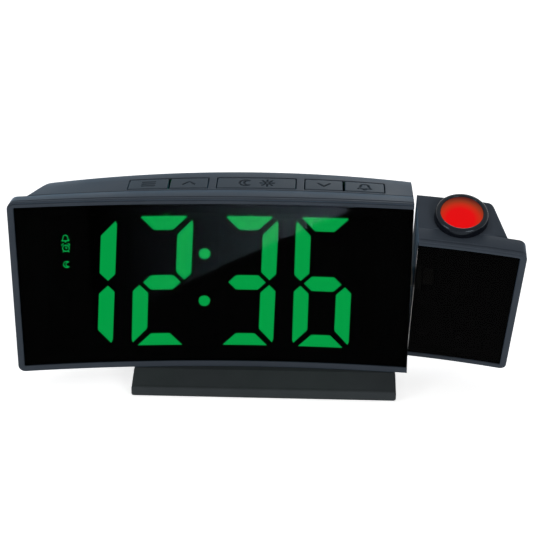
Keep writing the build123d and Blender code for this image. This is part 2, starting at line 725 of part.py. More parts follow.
save(
    "board_screws",
    screws_along_y(
        BOARD_SCREWS,
        lambda x: BOARD_BACK_Y,
        SMALL_HEAD_RADIUS,
        SMALL_HEAD_HEIGHT,
        SMALL_SHANK_RADIUS,
        BOARD_THICKNESS + BOARD_THREAD_DEPTH,
    ),
)

LED_PLACES = [
    (sum(x for x, _ in outline) / len(outline), sum(z for _, z in outline) / len(outline))
    for outline in LIT_OUTLINES + UNLIT_OUTLINES
]
LED_PLACES += COLON_DOTS
LED_PLACES += [(x, z) for x, z, _, _ in ICONS]
with BuildPart() as segment_leds:
    with BuildSketch(Plane.XZ.offset(-BOARD_FRONT_Y)):
        with Locations(*LED_PLACES):
            Rectangle(*SEGMENT_LED_SIZE)
    extrude(amount=SEGMENT_LED_HEIGHT)
save("segment_leds", segment_leds.part)

with BuildPart() as control_chip:
    with BuildSketch(Plane.XZ.offset(-BOARD_BACK_Y)):
        with Locations((CHIP_X, CHIP_Z)):
            Rectangle(CHIP_SIZE[0], CHIP_SIZE[1])
    extrude(amount=-CHIP_SIZE[2])
save("control_chip", control_chip.part)

with BuildPart() as crystal:
    with BuildSketch(Plane.XZ.offset(-BOARD_BACK_Y)):
        with Locations((CRYSTAL_X, CHIP_Z)):
            RectangleRounded(CRYSTAL_SIZE[0], CRYSTAL_SIZE[1], CRYSTAL_CORNER)
    extrude(amount=-CRYSTAL_SIZE[2])
save("crystal", crystal.part)

WALL_INSIDE_Y = arc_y(BUZZER_X - BUZZER_RADIUS, HOUSING_DEPTH - WALL)
BUZZER_HEIGHT = WALL_INSIDE_Y - BUZZER_GAP - BOARD_BACK_Y
with BuildPart() as buzzer:
    with BuildSketch(Plane.XZ.offset(-BOARD_BACK_Y)):
        with Locations((BUZZER_X, BUZZER_Z)):
            Circle(BUZZER_RADIUS)
    extrude(amount=-BUZZER_HEIGHT)
    with BuildSketch(Plane.XZ.offset(-BOARD_BACK_Y - BUZZER_HEIGHT)):
        with Locations((BUZZER_X, BUZZER_Z)):
            Circle(BUZZER_PORT_RADIUS)
    extrude(amount=BUZZER_PORT_DEPTH, mode=Mode.SUBTRACT)
save("buzzer", buzzer.part)

# Power socket: square body, round nose level with the back wall, a pin in its bore
DC_FACE_Y = arc_y(DC_X, HOUSING_DEPTH)
DC_BORE_DEPTH = DC_FACE_Y - BOARD_BACK_Y - DC_FLOOR
with BuildPart() as power_socket:
    with BuildSketch(Plane.XZ.offset(-BOARD_BACK_Y)):
        with Locations((DC_X, SOCKET_Z)):
            Rectangle(DC_SIZE, DC_SIZE)
    extrude(amount=BOARD_BACK_Y - DC_FACE_Y + 2 * WALL)
    with BuildSketch(Plane.XZ.offset(-BOARD_BACK_Y)):
        with Locations((DC_X, SOCKET_Z)):
            Circle(DC_NOSE_RADIUS)
    extrude(amount=BOARD_BACK_Y - DC_FACE_Y)
    with BuildSketch(Plane.XZ.offset(-DC_FACE_Y)):
        with Locations((DC_X, SOCKET_Z)):
            Circle(DC_BORE)
            Circle(DC_PIN_RADIUS, mode=Mode.SUBTRACT)
    extrude(amount=DC_BORE_DEPTH, mode=Mode.SUBTRACT)
save("power_socket", power_socket.part)

# Charging socket: folded shell with a contact tongue
USB_FACE_Y = arc_y(USB_X, HOUSING_DEPTH)
USB_DEPTH = USB_FACE_Y - BOARD_BACK_Y - USB_FLOOR
with BuildPart() as charging_socket:
    with BuildSketch(Plane.XZ.offset(-BOARD_BACK_Y)):
        with Locations((USB_X, SOCKET_Z)):
            Rectangle(USB_WIDTH, USB_HEIGHT)
    extrude(amount=BOARD_BACK_Y - USB_FACE_Y)
    with BuildSketch(Plane.XZ.offset(-USB_FACE_Y)):
        with Locations((USB_X, SOCKET_Z)):
            Rectangle(USB_WIDTH - 2 * USB_SHELL, USB_HEIGHT - 2 * USB_SHELL)
        with Locations((USB_X, SOCKET_Z + TONGUE_RISE)):
            Rectangle(TONGUE_WIDTH, TONGUE_THICKNESS, mode=Mode.SUBTRACT)
    extrude(amount=USB_DEPTH, mode=Mode.SUBTRACT)
save("charging_socket", charging_socket.part)

# ---- Rear shell of the display body -----------------------------------------------------------
with BuildPart() as body_cavity:
    with BuildSketch(Plane.XY.offset(FLOOR_Z)):
        add(shell_plan(SPLIT_X, -1, FRAME_DEPTH - WALL, WALL))
    extrude(amount=REACH)
    add(crown_layer(WALL, 2 * REACH), mode=Mode.INTERSECT)

CELL_BACK_Y = arc_y(CELL_X + COVER_RADIUS, HOUSING_DEPTH)
COVER_SEAT_Y = CELL_BACK_Y - COVER_THICKNESS
CUP_FLOOR_Y = COVER_SEAT_Y - CELL_END_GAP - CELL_THICKNESS - CONTACT_THICKNESS
with BuildPart() as rear_shell:
    with BuildSketch(Plane.XY.offset(BODY_BOTTOM_Z)):
        add(shell_plan(SPLIT_X, -1, SHELL_FRONT, 0))
    extrude(amount=REACH)
    add(crown_layer(0, 2 * REACH), mode=Mode.INTERSECT)
    top_edges = rear_shell.faces().sort_by(Axis.Z)[-1].edges()
    fillet(top_edges.filter_by(lambda edge: edge.center().Y > 0), TOP_EDGE_RADIUS)
    add(body_cavity.part, mode=Mode.SUBTRACT)
    # bosses for the case, foot and button board screws, and the coin cell's cup
    add(case_bosses(CASE_SCREWS))
    with BuildSketch(Plane.XY.offset(BODY_BOTTOM_Z)):
        with Locations(*FOOT_SCREWS):
            Circle(BOSS_RADIUS)
    extrude(amount=FOOT_THREAD + 2 * PILOT_SPARE)
    with BuildSketch(Plane.XZ.offset(-CUP_FLOOR_Y + CUP_WALL)):
        with Locations((CELL_X, CELL_Z)):
            Circle(COVER_RADIUS + COVER_CLEARANCE + CUP_WALL)
    extrude(amount=-(CELL_BACK_Y - CUP_FLOOR_Y))
    add(case_screw_holes(CASE_SCREWS), mode=Mode.SUBTRACT)
    add(
        curved_slab(-REACH, REACH, -REACH / 2, SHELL_FRONT, -REACH, 2 * REACH), mode=Mode.SUBTRACT
    )
    # openings for the buttons
    plates = [("mode_button", "up_button"), ("snooze_button",) * 2, ("down_button", "alarm_button")]
    for first, last in plates:
        x0 = BUTTON_EDGES[first][0] - BUTTON_CLEARANCE
        x1 = BUTTON_EDGES[last][1] + BUTTON_CLEARANCE
        front = BUTTON_FRONT_DEPTH - BUTTON_CLEARANCE
        back = BUTTON_BACK_DEPTH + BUTTON_CLEARANCE
        add(under_crown(x0, x1, front, back, -WALL, 3 * WALL), mode=Mode.SUBTRACT)
    # foot screws from below
    with BuildSketch(Plane.XY.offset(BODY_BOTTOM_Z)):
        with Locations(*FOOT_SCREWS):
            Circle(SHANK_RADIUS)
    extrude(amount=FOOT_THREAD + PILOT_SPARE, mode=Mode.SUBTRACT)
    # coin cell pocket and the seat of its cover
    with BuildSketch(Plane.XZ.offset(-CUP_FLOOR_Y)):
        with Locations((CELL_X, CELL_Z)):
            Circle(CELL_RADIUS + CELL_CLEARANCE)
    extrude(amount=-REACH, mode=Mode.SUBTRACT)
    with BuildSketch(Plane.XZ.offset(-COVER_SEAT_Y)):
        with Locations((CELL_X, CELL_Z)):
            Circle(COVER_RADIUS + COVER_CLEARANCE)
    extrude(amount=-REACH, mode=Mode.SUBTRACT)
    # sockets and sound slots in the back wall
    with BuildSketch(Plane.XZ.offset(-BOARD_BACK_Y)):
        with Locations((DC_X, SOCKET_Z)):
            Circle(DC_NOSE_RADIUS + SOCKET_CLEARANCE)
        with Locations((USB_X, SOCKET_Z)):
            Rectangle(USB_WIDTH + 2 * SOCKET_CLEARANCE, USB_HEIGHT + 2 * SOCKET_CLEARANCE)
        with Locations((BUZZER_X, BUZZER_Z)):
            with GridLocations(0, SLOT_PITCH, 1, SLOT_COUNT):
                SlotOverall(*SLOT_SIZE)
    extrude(amount=-REACH, mode=Mode.SUBTRACT)
    # hinge bush
    with BuildSketch(Plane.YZ.offset(SPLIT_X - 2 * WALL)):
        with Locations((HINGE_Y, HINGE_Z)):
            Circle(BUSH_RADIUS)
    extrude(amount=4 * WALL, mode=Mode.SUBTRACT)
    # posts that the button board hangs from
    for place in BUTTON_BOARD_SCREWS:
        add(hanging_post(place, BUTTON_BOARD_TOP_Z, WALL / 2))
    with BuildSketch(Plane.XY.offset(BUTTON_BOARD_TOP_Z)):
        with Locations(*BUTTON_BOARD_SCREWS):
            Circle(SMALL_SHANK_RADIUS)
    extrude(amount=SMALL_THREAD_DEPTH + PILOT_SPARE, mode=Mode.SUBTRACT)
save("rear_shell", rear_shell.part)

save(
    "case_screws",
    screws_along_y(
        CASE_SCREWS,
        boss_seat_y,
        HEAD_RADIUS,
        HEAD_HEIGHT,
        SHANK_RADIUS,
        BOSS_FLOOR + SEAM + THREAD_DEPTH,
    ),
)

# ---- Coin cell --------------------------------------------------------------------------------
with BuildPart() as cell_contact:
    with BuildSketch(Plane.XZ.offset(-CUP_FLOOR_Y)):
        with Locations((CELL_X, CELL_Z)):
            Circle(CONTACT_RADIUS)
            with PolarLocations(CONTACT_HOLE_RING, CONTACT_HOLES):
                Circle(CONTACT_HOLE_RADIUS, mode=Mode.SUBTRACT)
    extrude(amount=-CONTACT_THICKNESS)
save("cell_contact", cell_contact.part)

CELL_FRONT_Y = CUP_FLOOR_Y + CONTACT_THICKNESS
with BuildPart() as coin_cell:
    with BuildSketch(Plane.XZ.offset(-CELL_FRONT_Y)):
        with Locations((CELL_X, CELL_Z)):
            Circle(CELL_RADIUS)
    extrude(amount=-CELL_THICKNESS)
    chamfer(coin_cell.edges().group_by(Axis.Y)[0], CELL_CHAMFER)
save("coin_cell", coin_cell.part)

with BuildPart() as cell_cover:
    with BuildSketch(Plane.XZ.offset(-COVER_SEAT_Y)):
        with Locations((CELL_X, CELL_Z)):
            Circle(COVER_RADIUS)
    extrude(amount=-COVER_THICKNESS)
    with BuildSketch(Plane.XZ.offset(-CELL_BACK_Y)):
        with Locations((CELL_X, CELL_Z)):
            SlotOverall(COIN_SLOT[0], COIN_SLOT[1])
    extrude(amount=COIN_SLOT[2], mode=Mode.SUBTRACT)
save("cell_cover", cell_cover.part)

# ---- Buttons and their board ------------------------------------------------------------------
BUTTON_PLACES = {
    name: on_arc((x0 + x1) / 2, BUTTON_MIDDLE_DEPTH) for name, (x0, x1) in BUTTON_EDGES.items()
}
with BuildPart() as button_board:
    with BuildSketch(Plane.XY.offset(BUTTON_BOARD_Z)):
        with Locations((BUTTON_BOARD_LEFT_X, FRONT_Y + BUTTON_BOARD_DEPTH[0])):
            Rectangle(
                BUTTON_BOARD_RIGHT_X - BUTTON_BOARD_LEFT_X,
                BUTTON_BOARD_DEPTH[1] - BUTTON_BOARD_DEPTH[0],
                align=Align.MIN,
            )
        with Locations(*BUTTON_BOARD_SCREWS):
            Circle(SMALL_SHANK_RADIUS + SHANK_CLEARANCE, mode=Mode.SUBTRACT)
    extrude(amount=BUTTON_BOARD_THICKNESS)
save("button_board", button_board.part)

with BuildPart() as button_board_screws:
    for place in BUTTON_BOARD_SCREWS:
        with BuildSketch(Plane.XY.offset(BUTTON_BOARD_Z)):
            with Locations(place):
                Circle(SMALL_HEAD_RADIUS)
        extrude(amount=-SMALL_HEAD_HEIGHT)
        with BuildSketch(Plane.XY.offset(BUTTON_BOARD_Z)):
            with Locations(place):
                Circle(SMALL_SHANK_RADIUS)
        extrude(amount=BUTTON_BOARD_THICKNESS + SMALL_THREAD_DEPTH)
save("button_board_screws", button_board_screws.part)

with BuildPart() as tact_switches:
    for place in BUTTON_PLACES.values():
        with BuildSketch(Plane.XY.offset(BUTTON_BOARD_TOP_Z)):
            with Locations(place):
                Rectangle(SWITCH_SIZE, SWITCH_SIZE)
        extrude(amount=SWITCH_HEIGHT)
        with BuildSketch(Plane.XY.offset(BUTTON_BOARD_TOP_Z + SWITCH_HEIGHT)):
            with Locations(place):
                Circle(PLUNGER_RADIUS)
        extrude(amount=PLUNGER_HEIGHT)
save("tact_switches", tact_switches.part)

POST_BOTTOM_Z = PLUNGER_TOP_Z + BUTTON_TRAVEL + FLANGE_CLEARANCE
for name, (x0, x1) in BUTTON_EDGES.items():
    with BuildPart() as button:
        # cap, then the flange that keeps it in, then the post over its switch
        flange_drop = WALL + FLANGE_CLEARANCE
        add(
            under_crown(
                x0,
                x1,
                BUTTON_FRONT_DEPTH,
                BUTTON_BACK_DEPTH,
                -BUTTON_PROUD,
                BUTTON_PROUD + flange_drop + FLANGE_THICKNESS,
            )
        )
        add(
            under_crown(
                x0,
                x1,
                BUTTON_FRONT_DEPTH - FLANGE_WIDTH,
                BUTTON_BACK_DEPTH + FLANGE_WIDTH,
                flange_drop,
                FLANGE_THICKNESS,
            )
        )
        add(hanging_post(BUTTON_PLACES[name], POST_BOTTOM_Z, WALL))
    save(name, button.part)

# ---- Hinge ------------------------------------------------------------------------------------
BUSH_FLANGE_X = SPLIT_X - WALL - BUSH_FLANGE
WASHER_X = BUSH_FLANGE_X - WASHER_THICKNESS
CLIP_X = WASHER_X - THRUST_CLEARANCE - CLIP_THICKNESS
MODULE_INNER_X = MODULE_X + WALL
SHAFT_LEFT_X = SPLIT_X - SHAFT_REACH
HINGE_CENTRE = (HINGE_Y, HINGE_Z)


def collar(x, length, radius, bore):
    """Ring about the hinge axis, from x on."""
    with BuildPart() as ring:
        with BuildSketch(Plane.YZ.offset(x)):
            with Locations(HINGE_CENTRE):
                Circle(radius)
                Circle(bore, mode=Mode.SUBTRACT)
        extrude(amount=length)
    return ring.part


BUSH_BORE = SHAFT_RADIUS + SHAFT_CLEARANCE
GROOVE_RADIUS = SHAFT_RADIUS - CLIP_GROOVE
with BuildPart() as hinge_bush:
    add(collar(BUSH_FLANGE_X, BUSH_FLANGE, BUSH_FLANGE_RADIUS, BUSH_BORE))
    sleeve_length = MODULE_X - THRUST_CLEARANCE - BUSH_FLANGE_X
    add(collar(BUSH_FLANGE_X, sleeve_length, BUSH_RADIUS, BUSH_BORE))
save("hinge_bush", hinge_bush.part)

save("friction_washer", collar(WASHER_X, WASHER_THICKNESS, CLIP_RADIUS, BUSH_BORE))

with BuildPart() as projector_shaft:
    add(collar(SHAFT_LEFT_X, MODULE_INNER_X - SHAFT_LEFT_X, SHAFT_RADIUS, SHAFT_BORE))
    add(collar(MODULE_INNER_X, SHAFT_FLANGE, SHAFT_FLANGE_RADIUS, SHAFT_BORE))
    add(collar(CLIP_X, CLIP_THICKNESS, BUSH_RADIUS, GROOVE_RADIUS), mode=Mode.SUBTRACT)
save("projector_shaft", projector_shaft.part, tilted=True)

with BuildPart() as retaining_clip:
    add(collar(CLIP_X, CLIP_THICKNESS, CLIP_RADIUS, GROOVE_RADIUS))
    with BuildSketch(Plane.YZ.offset(CLIP_X)):
        with Locations((HINGE_Y, HINGE_Z - CLIP_RADIUS)):
            Rectangle(CLIP_MOUTH, 2 * CLIP_RADIUS)
    extrude(amount=CLIP_THICKNESS, mode=Mode.SUBTRACT)
save("retaining_clip", retaining_clip.part, tilted=True)

HEADER_X = BOARD_RIGHT_X - HEADER_WIDTH / 2 - SHANK_CLEARANCE
with BuildPart() as harness_header:
    with BuildSketch(Plane.XZ.offset(-BOARD_FRONT_Y)):
        with Locations((HEADER_X, HINGE_Z)):
            Rectangle(HEADER_WIDTH, HEADER_HEIGHT)
    extrude(amount=BOARD_DEPTH - HEADER_DEPTH)
save("harness_header", harness_header.part)

HARNESS_LEFT_X = HEADER_X + HEADER_WIDTH / 2
PLUG_X = MODULE_INNER_X + SHAFT_FLANGE + PLUG_GAP
with BuildPart() as projector_harness:
    with BuildSketch(Plane.YZ.offset(HARNESS_LEFT_X)):
        with Locations(HINGE_CENTRE):
            Circle(HARNESS_RADIUS)
    extrude(amount=PLUG_X - THRUST_CLEARANCE - HARNESS_LEFT_X)
save("projector_harness", projector_harness.part)

# ---- Projector module, drawn upright ----------------------------------------------------------
with BuildPart() as projector_frame:
    add(curved_slab(MODULE_X, RIGHT_X, 0, FRAME_DEPTH, BODY_BOTTOM_Z, BODY_TOP_Z))
    fillet(projector_frame.edges().filter_by(Axis.Y).group_by(Axis.X)[-1], CORNER_RADIUS)
    add(
        curved_slab(
            MODULE_X - WALL,
            RIGHT_X - SIDE_LIP,
            -WALL,
            WINDOW_SEAT,
            WINDOW_BOTTOM_Z,
            WINDOW_BOTTOM_Z + WINDOW_HEIGHT,
        ),
        mode=Mode.SUBTRACT,
    )
    add(
        curved_slab(
            MODULE_INNER_X,
            RIGHT_X - MODULE_LEDGE,
            0,
            BEHIND_FRAME,
            LEDGE_BOTTOM_Z,
            LEDGE_TOP_Z,
        ),
        mode=Mode.SUBTRACT,
    )
    add(pilot_holes(MODULE_SCREWS), mode=Mode.SUBTRACT)
save("projector_frame", projector_frame.part, tilted=True)

with BuildPart() as projector_window:
    add(
        curved_slab(
            MODULE_X,
            RIGHT_X - SIDE_LIP - WINDOW_CLEARANCE,
            WINDOW_RECESS,
            WINDOW_RECESS + WINDOW_THICKNESS,
            WINDOW_BOTTOM_Z + WINDOW_CLEARANCE,
            WINDOW_BOTTOM_Z + WINDOW_HEIGHT - WINDOW_CLEARANCE,
        )
    )
save("projector_window", projector_window.part, tilted=True)

LENS_CENTRE = (LENS_X, HINGE_Y)
CEILING_Z = BODY_TOP_Z - WALL
with BuildPart() as projector_shell:
    with BuildSketch(Plane.XY.offset(BODY_BOTTOM_Z)):
        add(shell_plan(MODULE_X, 1, SHELL_FRONT, 0))
    extrude(amount=BODY_HEIGHT)
    end_edges = projector_shell.faces().sort_by(Axis.Z)[-1].edges().group_by(Axis.X)[-1]
    chamfer(end_edges, MODULE_TOP_CHAMFER)
    with BuildSketch(Plane.XY.offset(FLOOR_Z)):
        add(shell_plan(MODULE_X, 1, FRAME_DEPTH - WALL, WALL))
    extrude(amount=CEILING_Z - FLOOR_Z, mode=Mode.SUBTRACT)
    add(case_bosses(MODULE_SCREWS))
    add(case_screw_holes(MODULE_SCREWS), mode=Mode.SUBTRACT)
    add(
        curved_slab(-REACH, REACH, -REACH / 2, SHELL_FRONT, -REACH, 2 * REACH), mode=Mode.SUBTRACT
    )
    with BuildSketch(Plane.XY.offset(MIDDLE_Z)):
        with Locations(LENS_CENTRE):
            Circle(NECK_RADIUS + RING_GAP)
    extrude(amount=BODY_HEIGHT, mode=Mode.SUBTRACT)
    with BuildSketch(Plane.YZ.offset(MODULE_X)):
        with Locations(HINGE_CENTRE):
            Circle(SHAFT_RADIUS)
    extrude(amount=WALL, mode=Mode.SUBTRACT)
save("projector_shell", projector_shell.part, tilted=True)

save(
    "projector_screws",
    screws_along_y(
        MODULE_SCREWS,
        boss_seat_y,
        HEAD_RADIUS,
        HEAD_HEIGHT,
        SHANK_RADIUS,
        BOSS_FLOOR + SEAM + THREAD_DEPTH,
    ),
    tilted=True,
)


def turned(outline):
    """Solid turned about the optical axis from an outline of (radius, z)."""
    with BuildPart() as solid:
        with BuildSketch(Plane.XZ):
            with BuildLine():
                Polyline(*outline, close=True)
            make_face()
        revolve(axis=Axis.Z)
    return solid.part.moved(Location((LENS_X, HINGE_Y, 0)))


RING_BOTTOM_Z = BODY_TOP_Z + RING_GAP
RING_TOP_Z = BODY_TOP_Z + RING_RISE
LENS_Z = RING_BOTTOM_Z + RING_FLOOR
RING_BORE = LENS_RADIUS + LENS_CLEARANCE
NECK_BORE = NECK_RADIUS - NECK_WALL
lens_ring = turned(
    [
        (NECK_BORE, RING_BOTTOM_Z - NECK_LENGTH),
        (NECK_RADIUS, RING_BOTTOM_Z - NECK_LENGTH),
        (NECK_RADIUS, RING_BOTTOM_Z),
        (RING_RADIUS - RING_FLOOR, RING_BOTTOM_Z),
        (RING_RADIUS, RING_BOTTOM_Z + RING_FLOOR),
        (RING_RADIUS, RING_TOP_Z - RING_FLOOR),
        (RING_RADIUS - RING_FLOOR, RING_TOP_Z),
        (RING_BORE + RING_FLARE, RING_TOP_Z),
        (RING_BORE, RING_TOP_Z - RING_FLOOR),
        (RING_BORE, LENS_Z),
        (NECK_BORE, LENS_Z),
    ]
)
save("lens_ring", lens_ring, tilted=True)


def plano_convex(radius, z, thickness, crown):
    """Lens with a flat underside at z and a top that is crown higher in the middle."""
    ball_radius = (radius**2 + crown**2) / (2 * crown)
    with BuildPart() as lens:
        with BuildSketch(Plane.XY.offset(z)):
            with Locations(LENS_CENTRE):
                Circle(radius)
        extrude(amount=thickness)
        with Locations((*LENS_CENTRE, z + thickness - ball_radius)):
            Sphere(ball_radius, mode=Mode.INTERSECT)
    return lens.part


save(
    "projection_lens",
    plano_convex(LENS_RADIUS, LENS_Z, LENS_THICKNESS, LENS_CROWN),
    tilted=True,
)

SHELF_BORE = BARREL_BORE - SHELF_WIDTH
PLUG_BACK_X = PLUG_X + HEADER_WIDTH
with BuildPart() as lens_barrel:
    with BuildSketch(Plane.XY.offset(BARREL_BOTTOM_Z)):
        with Locations(LENS_CENTRE):
            Circle(BARREL_RADIUS)
    extrude(amount=CEILING_Z - BARREL_BOTTOM_Z)
    with BuildSketch(Plane.YZ.offset(PLUG_BACK_X)):
        with Locations(HINGE_CENTRE):
            Rectangle(HEADER_WIDTH, HEADER_HEIGHT)
    extrude(amount=LENS_X - PLUG_BACK_X)
    with BuildSketch(Plane.XY.offset(BARREL_BOTTOM_Z)):
        with Locations(LENS_CENTRE):
            Circle(BARREL_BORE)
    extrude(amount=CEILING_Z - BARREL_BOTTOM_Z, mode=Mode.SUBTRACT)
    for shelf_z in (LCD_Z, CONDENSER_Z):
        with BuildSketch(Plane.XY.offset(shelf_z)):
            with Locations(LENS_CENTRE):
                Circle(BARREL_RADIUS)
                Circle(SHELF_BORE, mode=Mode.SUBTRACT)
        extrude(amount=-SHELF_THICKNESS)
save("lens_barrel", lens_barrel.part, tilted=True)

with BuildPart() as lcd_slide:
    with BuildSketch(Plane.XY.offset(LCD_Z)):
        with Locations(LENS_CENTRE):
            Rectangle(LCD_SIZE, LCD_SIZE)
    extrude(amount=LCD_THICKNESS)
save("lcd_slide", lcd_slide.part, tilted=True)

save(
    "condenser_lens",
    plano_convex(
        BARREL_BORE - LENS_CLEARANCE, CONDENSER_Z, CONDENSER_THICKNESS, CONDENSER_CROWN
    ),
    tilted=True,
)

with BuildPart() as lamp_board:
    with BuildSketch(Plane.XY.offset(BARREL_BOTTOM_Z)):
        with Locations((LENS_X - LAMP_BOARD_REACH[0], HINGE_Y)):
            Rectangle(sum(LAMP_BOARD_REACH), LAMP_BOARD_WIDTH, align=(Align.MIN, Align.CENTER))
    extrude(amount=-LAMP_BOARD_THICKNESS)
save("lamp_board", lamp_board.part, tilted=True)

with BuildPart() as projector_led:
    with BuildSketch(Plane.XY.offset(BARREL_BOTTOM_Z)):
        with Locations(LENS_CENTRE):
            Circle(LED_RADIUS)
    extrude(amount=LED_HEIGHT)
    fillet(projector_led.edges().group_by(Axis.Z)[-1], LED_DOME)
save("projector_led", projector_led.part, tilted=True)

with BuildPart() as projector_plug:
    with BuildSketch(Plane.YZ.offset(PLUG_X)):
        with Locations(HINGE_CENTRE):
            Rectangle(HEADER_WIDTH, HEADER_HEIGHT)
    extrude(amount=HEADER_WIDTH)
save("projector_plug", projector_plug.part, tilted=True)

with BuildPart() as lamp_leads:
    with BuildSketch(Plane.XY.offset(BARREL_BOTTOM_Z)):
        with Locations((PLUG_X + HEADER_WIDTH / 2, HINGE_Y)):
            with GridLocations(0, 2 * LEAD_RADIUS + SEAM, 1, 2):
                Circle(LEAD_RADIUS)
    extrude(amount=HINGE_Z - HEADER_HEIGHT / 2 - BARREL_BOTTOM_Z)
save("lamp_leads", lamp_leads.part, tilted=True)

# ---- Foot -------------------------------------------------------------------------------------
FOOT_SEAT_Z = BODY_BOTTOM_Z - FOOT_PLATE
FOOT_FRONT_Y = FRONT_Y + FOOT_FRONT
FOOT_BACK_Y = FRONT_Y + FOOT_BACK
with BuildPart() as stand_foot:
    with BuildSketch(Plane.YZ):
        with BuildLine():
            FilletPolyline(
                (FOOT_BACK_Y, FOOT_LIFT),
                (FOOT_FRONT_Y, FOOT_LIFT),
                (FOOT_FRONT_Y, FOOT_LIFT + FOOT_NOSE_HEIGHT),
                (FRONT_Y + FOOT_CREASE_DEPTH, FOOT_CREASE_Z),
                (FRONT_Y + FOOT_SHELF[0], BODY_BOTTOM_Z),
                (FRONT_Y + FOOT_SHELF[1], BODY_BOTTOM_Z),
                (FOOT_BACK_Y, FOOT_TAIL_Z),
                radius=FOOT_EDGE_RADIUS,
                close=True,
            )
        make_face()
    extrude(amount=FOOT_WIDTH / 2, both=True)
    with BuildSketch(Plane.XY.offset(FOOT_LIFT)):
        with Locations((0, (FOOT_FRONT_Y + FOOT_BACK_Y) / 2)):
            Rectangle(FOOT_WIDTH - 2 * FOOT_SOLID_END, FOOT_BACK - FOOT_FRONT - 2 * FOOT_RIM)
    extrude(amount=FOOT_SEAT_Z - FOOT_LIFT, mode=Mode.SUBTRACT)
    with BuildSketch(Plane.XY.offset(FOOT_LIFT)):
        with Locations(*FOOT_SCREWS):
            Circle(SHANK_RADIUS + SHANK_CLEARANCE)
    extrude(amount=BODY_BOTTOM_Z, mode=Mode.SUBTRACT)
    with BuildSketch(Plane.XY.offset(FOOT_LIFT)):
        with Locations(*PAD_PLACES):
            Circle(PAD_RADIUS + PAD_CLEARANCE)
    extrude(amount=PAD_HEIGHT - FOOT_LIFT, mode=Mode.SUBTRACT)
save("stand_foot", stand_foot.part)

with BuildPart() as foot_pads:
    with BuildSketch():
        with Locations(*PAD_PLACES):
            Circle(PAD_RADIUS)
    extrude(amount=PAD_HEIGHT)
save("foot_pads", foot_pads.part)

with BuildPart() as foot_screws:
    for place in FOOT_SCREWS:
        with BuildSketch(Plane.XY.offset(FOOT_SEAT_Z)):
            with Locations(place):
                Circle(HEAD_RADIUS)
        extrude(amount=-HEAD_HEIGHT)
        with BuildSketch(Plane.XY.offset(FOOT_SEAT_Z)):
            with Locations(place):
                Circle(SHANK_RADIUS)
        extrude(amount=FOOT_PLATE + FOOT_THREAD)
save("foot_screws", foot_screws.part)
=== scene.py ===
"""Looks of a projection alarm clock: a long curved display body on a wide foot, with a projector
module that tilts at its right end.

Every shape is worked out in millimetres, in the part's own frame, as grids of points that are a
formula of two values. The screen is a shallow cylinder, hollow towards the viewer, so plan places
are given by their depth behind its front arc. The module is shaped upright and then tilted.
"""

import json
import math

import bmesh
import bpy
import numpy as np
from bpy.props import FloatProperty, FloatVectorProperty, PointerProperty
from mathutils import Matrix, Vector


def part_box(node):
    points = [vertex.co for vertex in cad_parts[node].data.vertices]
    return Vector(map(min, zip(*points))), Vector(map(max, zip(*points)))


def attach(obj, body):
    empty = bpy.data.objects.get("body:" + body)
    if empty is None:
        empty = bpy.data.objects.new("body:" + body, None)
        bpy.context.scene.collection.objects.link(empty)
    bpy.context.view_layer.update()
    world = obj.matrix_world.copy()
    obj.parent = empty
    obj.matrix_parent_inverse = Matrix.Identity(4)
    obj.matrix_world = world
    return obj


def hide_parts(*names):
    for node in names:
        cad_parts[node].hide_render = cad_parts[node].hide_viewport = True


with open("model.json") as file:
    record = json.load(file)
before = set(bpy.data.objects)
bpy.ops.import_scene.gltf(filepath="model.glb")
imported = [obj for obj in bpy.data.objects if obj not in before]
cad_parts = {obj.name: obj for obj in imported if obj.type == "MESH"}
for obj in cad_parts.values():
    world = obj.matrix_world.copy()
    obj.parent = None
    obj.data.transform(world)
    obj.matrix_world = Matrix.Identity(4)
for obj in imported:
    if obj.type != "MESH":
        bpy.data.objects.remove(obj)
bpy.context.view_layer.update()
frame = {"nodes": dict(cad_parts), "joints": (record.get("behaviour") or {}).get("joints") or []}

bl_info = {
    "name": "Projection Alarm Clock",
    "version": (1, 0, 0),
    "blender": (4, 5, 0),
    "location": "3D View > Sidebar > Alarm Clock",
    "description": "Builds the finished surfaces of a curved projection alarm clock",
    "category": "Object",
}

# ---- Places taken from the frame, in millimetres ------------------------------------------------
MM = 1000.0


def node_box(name):
    """Lowest and highest corner of a node of the frame, in millimetres."""
    low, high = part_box(name)
    return np.array(low) * MM, np.array(high) * MM


def joint_named(name):
    """A joint of the frame by its name."""
    return next(joint for joint in frame["joints"] if joint["name"] == name)


CLEARANCE = 0.1  # between neighbours that don't touch
SCREEN_RADIUS = 560.0
FRAME_DEPTH = 7.5
SHELL_FRONT = FRAME_DEPTH + CLEARANCE
HOUSING_DEPTH = 25.5
FRAME_LOW, FRAME_HIGH = node_box("front_frame")
FRONT_Y = FRAME_HIGH[1] - FRAME_DEPTH
LEFT_X, SPLIT_X = FRAME_LOW[0], FRAME_HIGH[0]
BOTTOM_Z, TOP_Z = FRAME_LOW[2], FRAME_HIGH[2]
MIDDLE_Z = (BOTTOM_Z + TOP_Z) / 2
MODULE_X, RIGHT_X = (corner[0] for corner in node_box("projector_frame"))
HINGE = np.array(joint_named("projector_tilt")["pos_m"]) * MM
TILT = math.asin(-joint_named("focus_turn")["axis"][1])
SHELL_INSET = 6.3  # the shells' outer ends, where they leave the frame
SLANT_RUN = 5.5  # how far these ends lean in from the frame to the back
BACK_CORNER = 3.2  # radius of their rear corners
CROWN_X = -6.0  # middle of the body's crown
CROWN_SPAN = 78.0
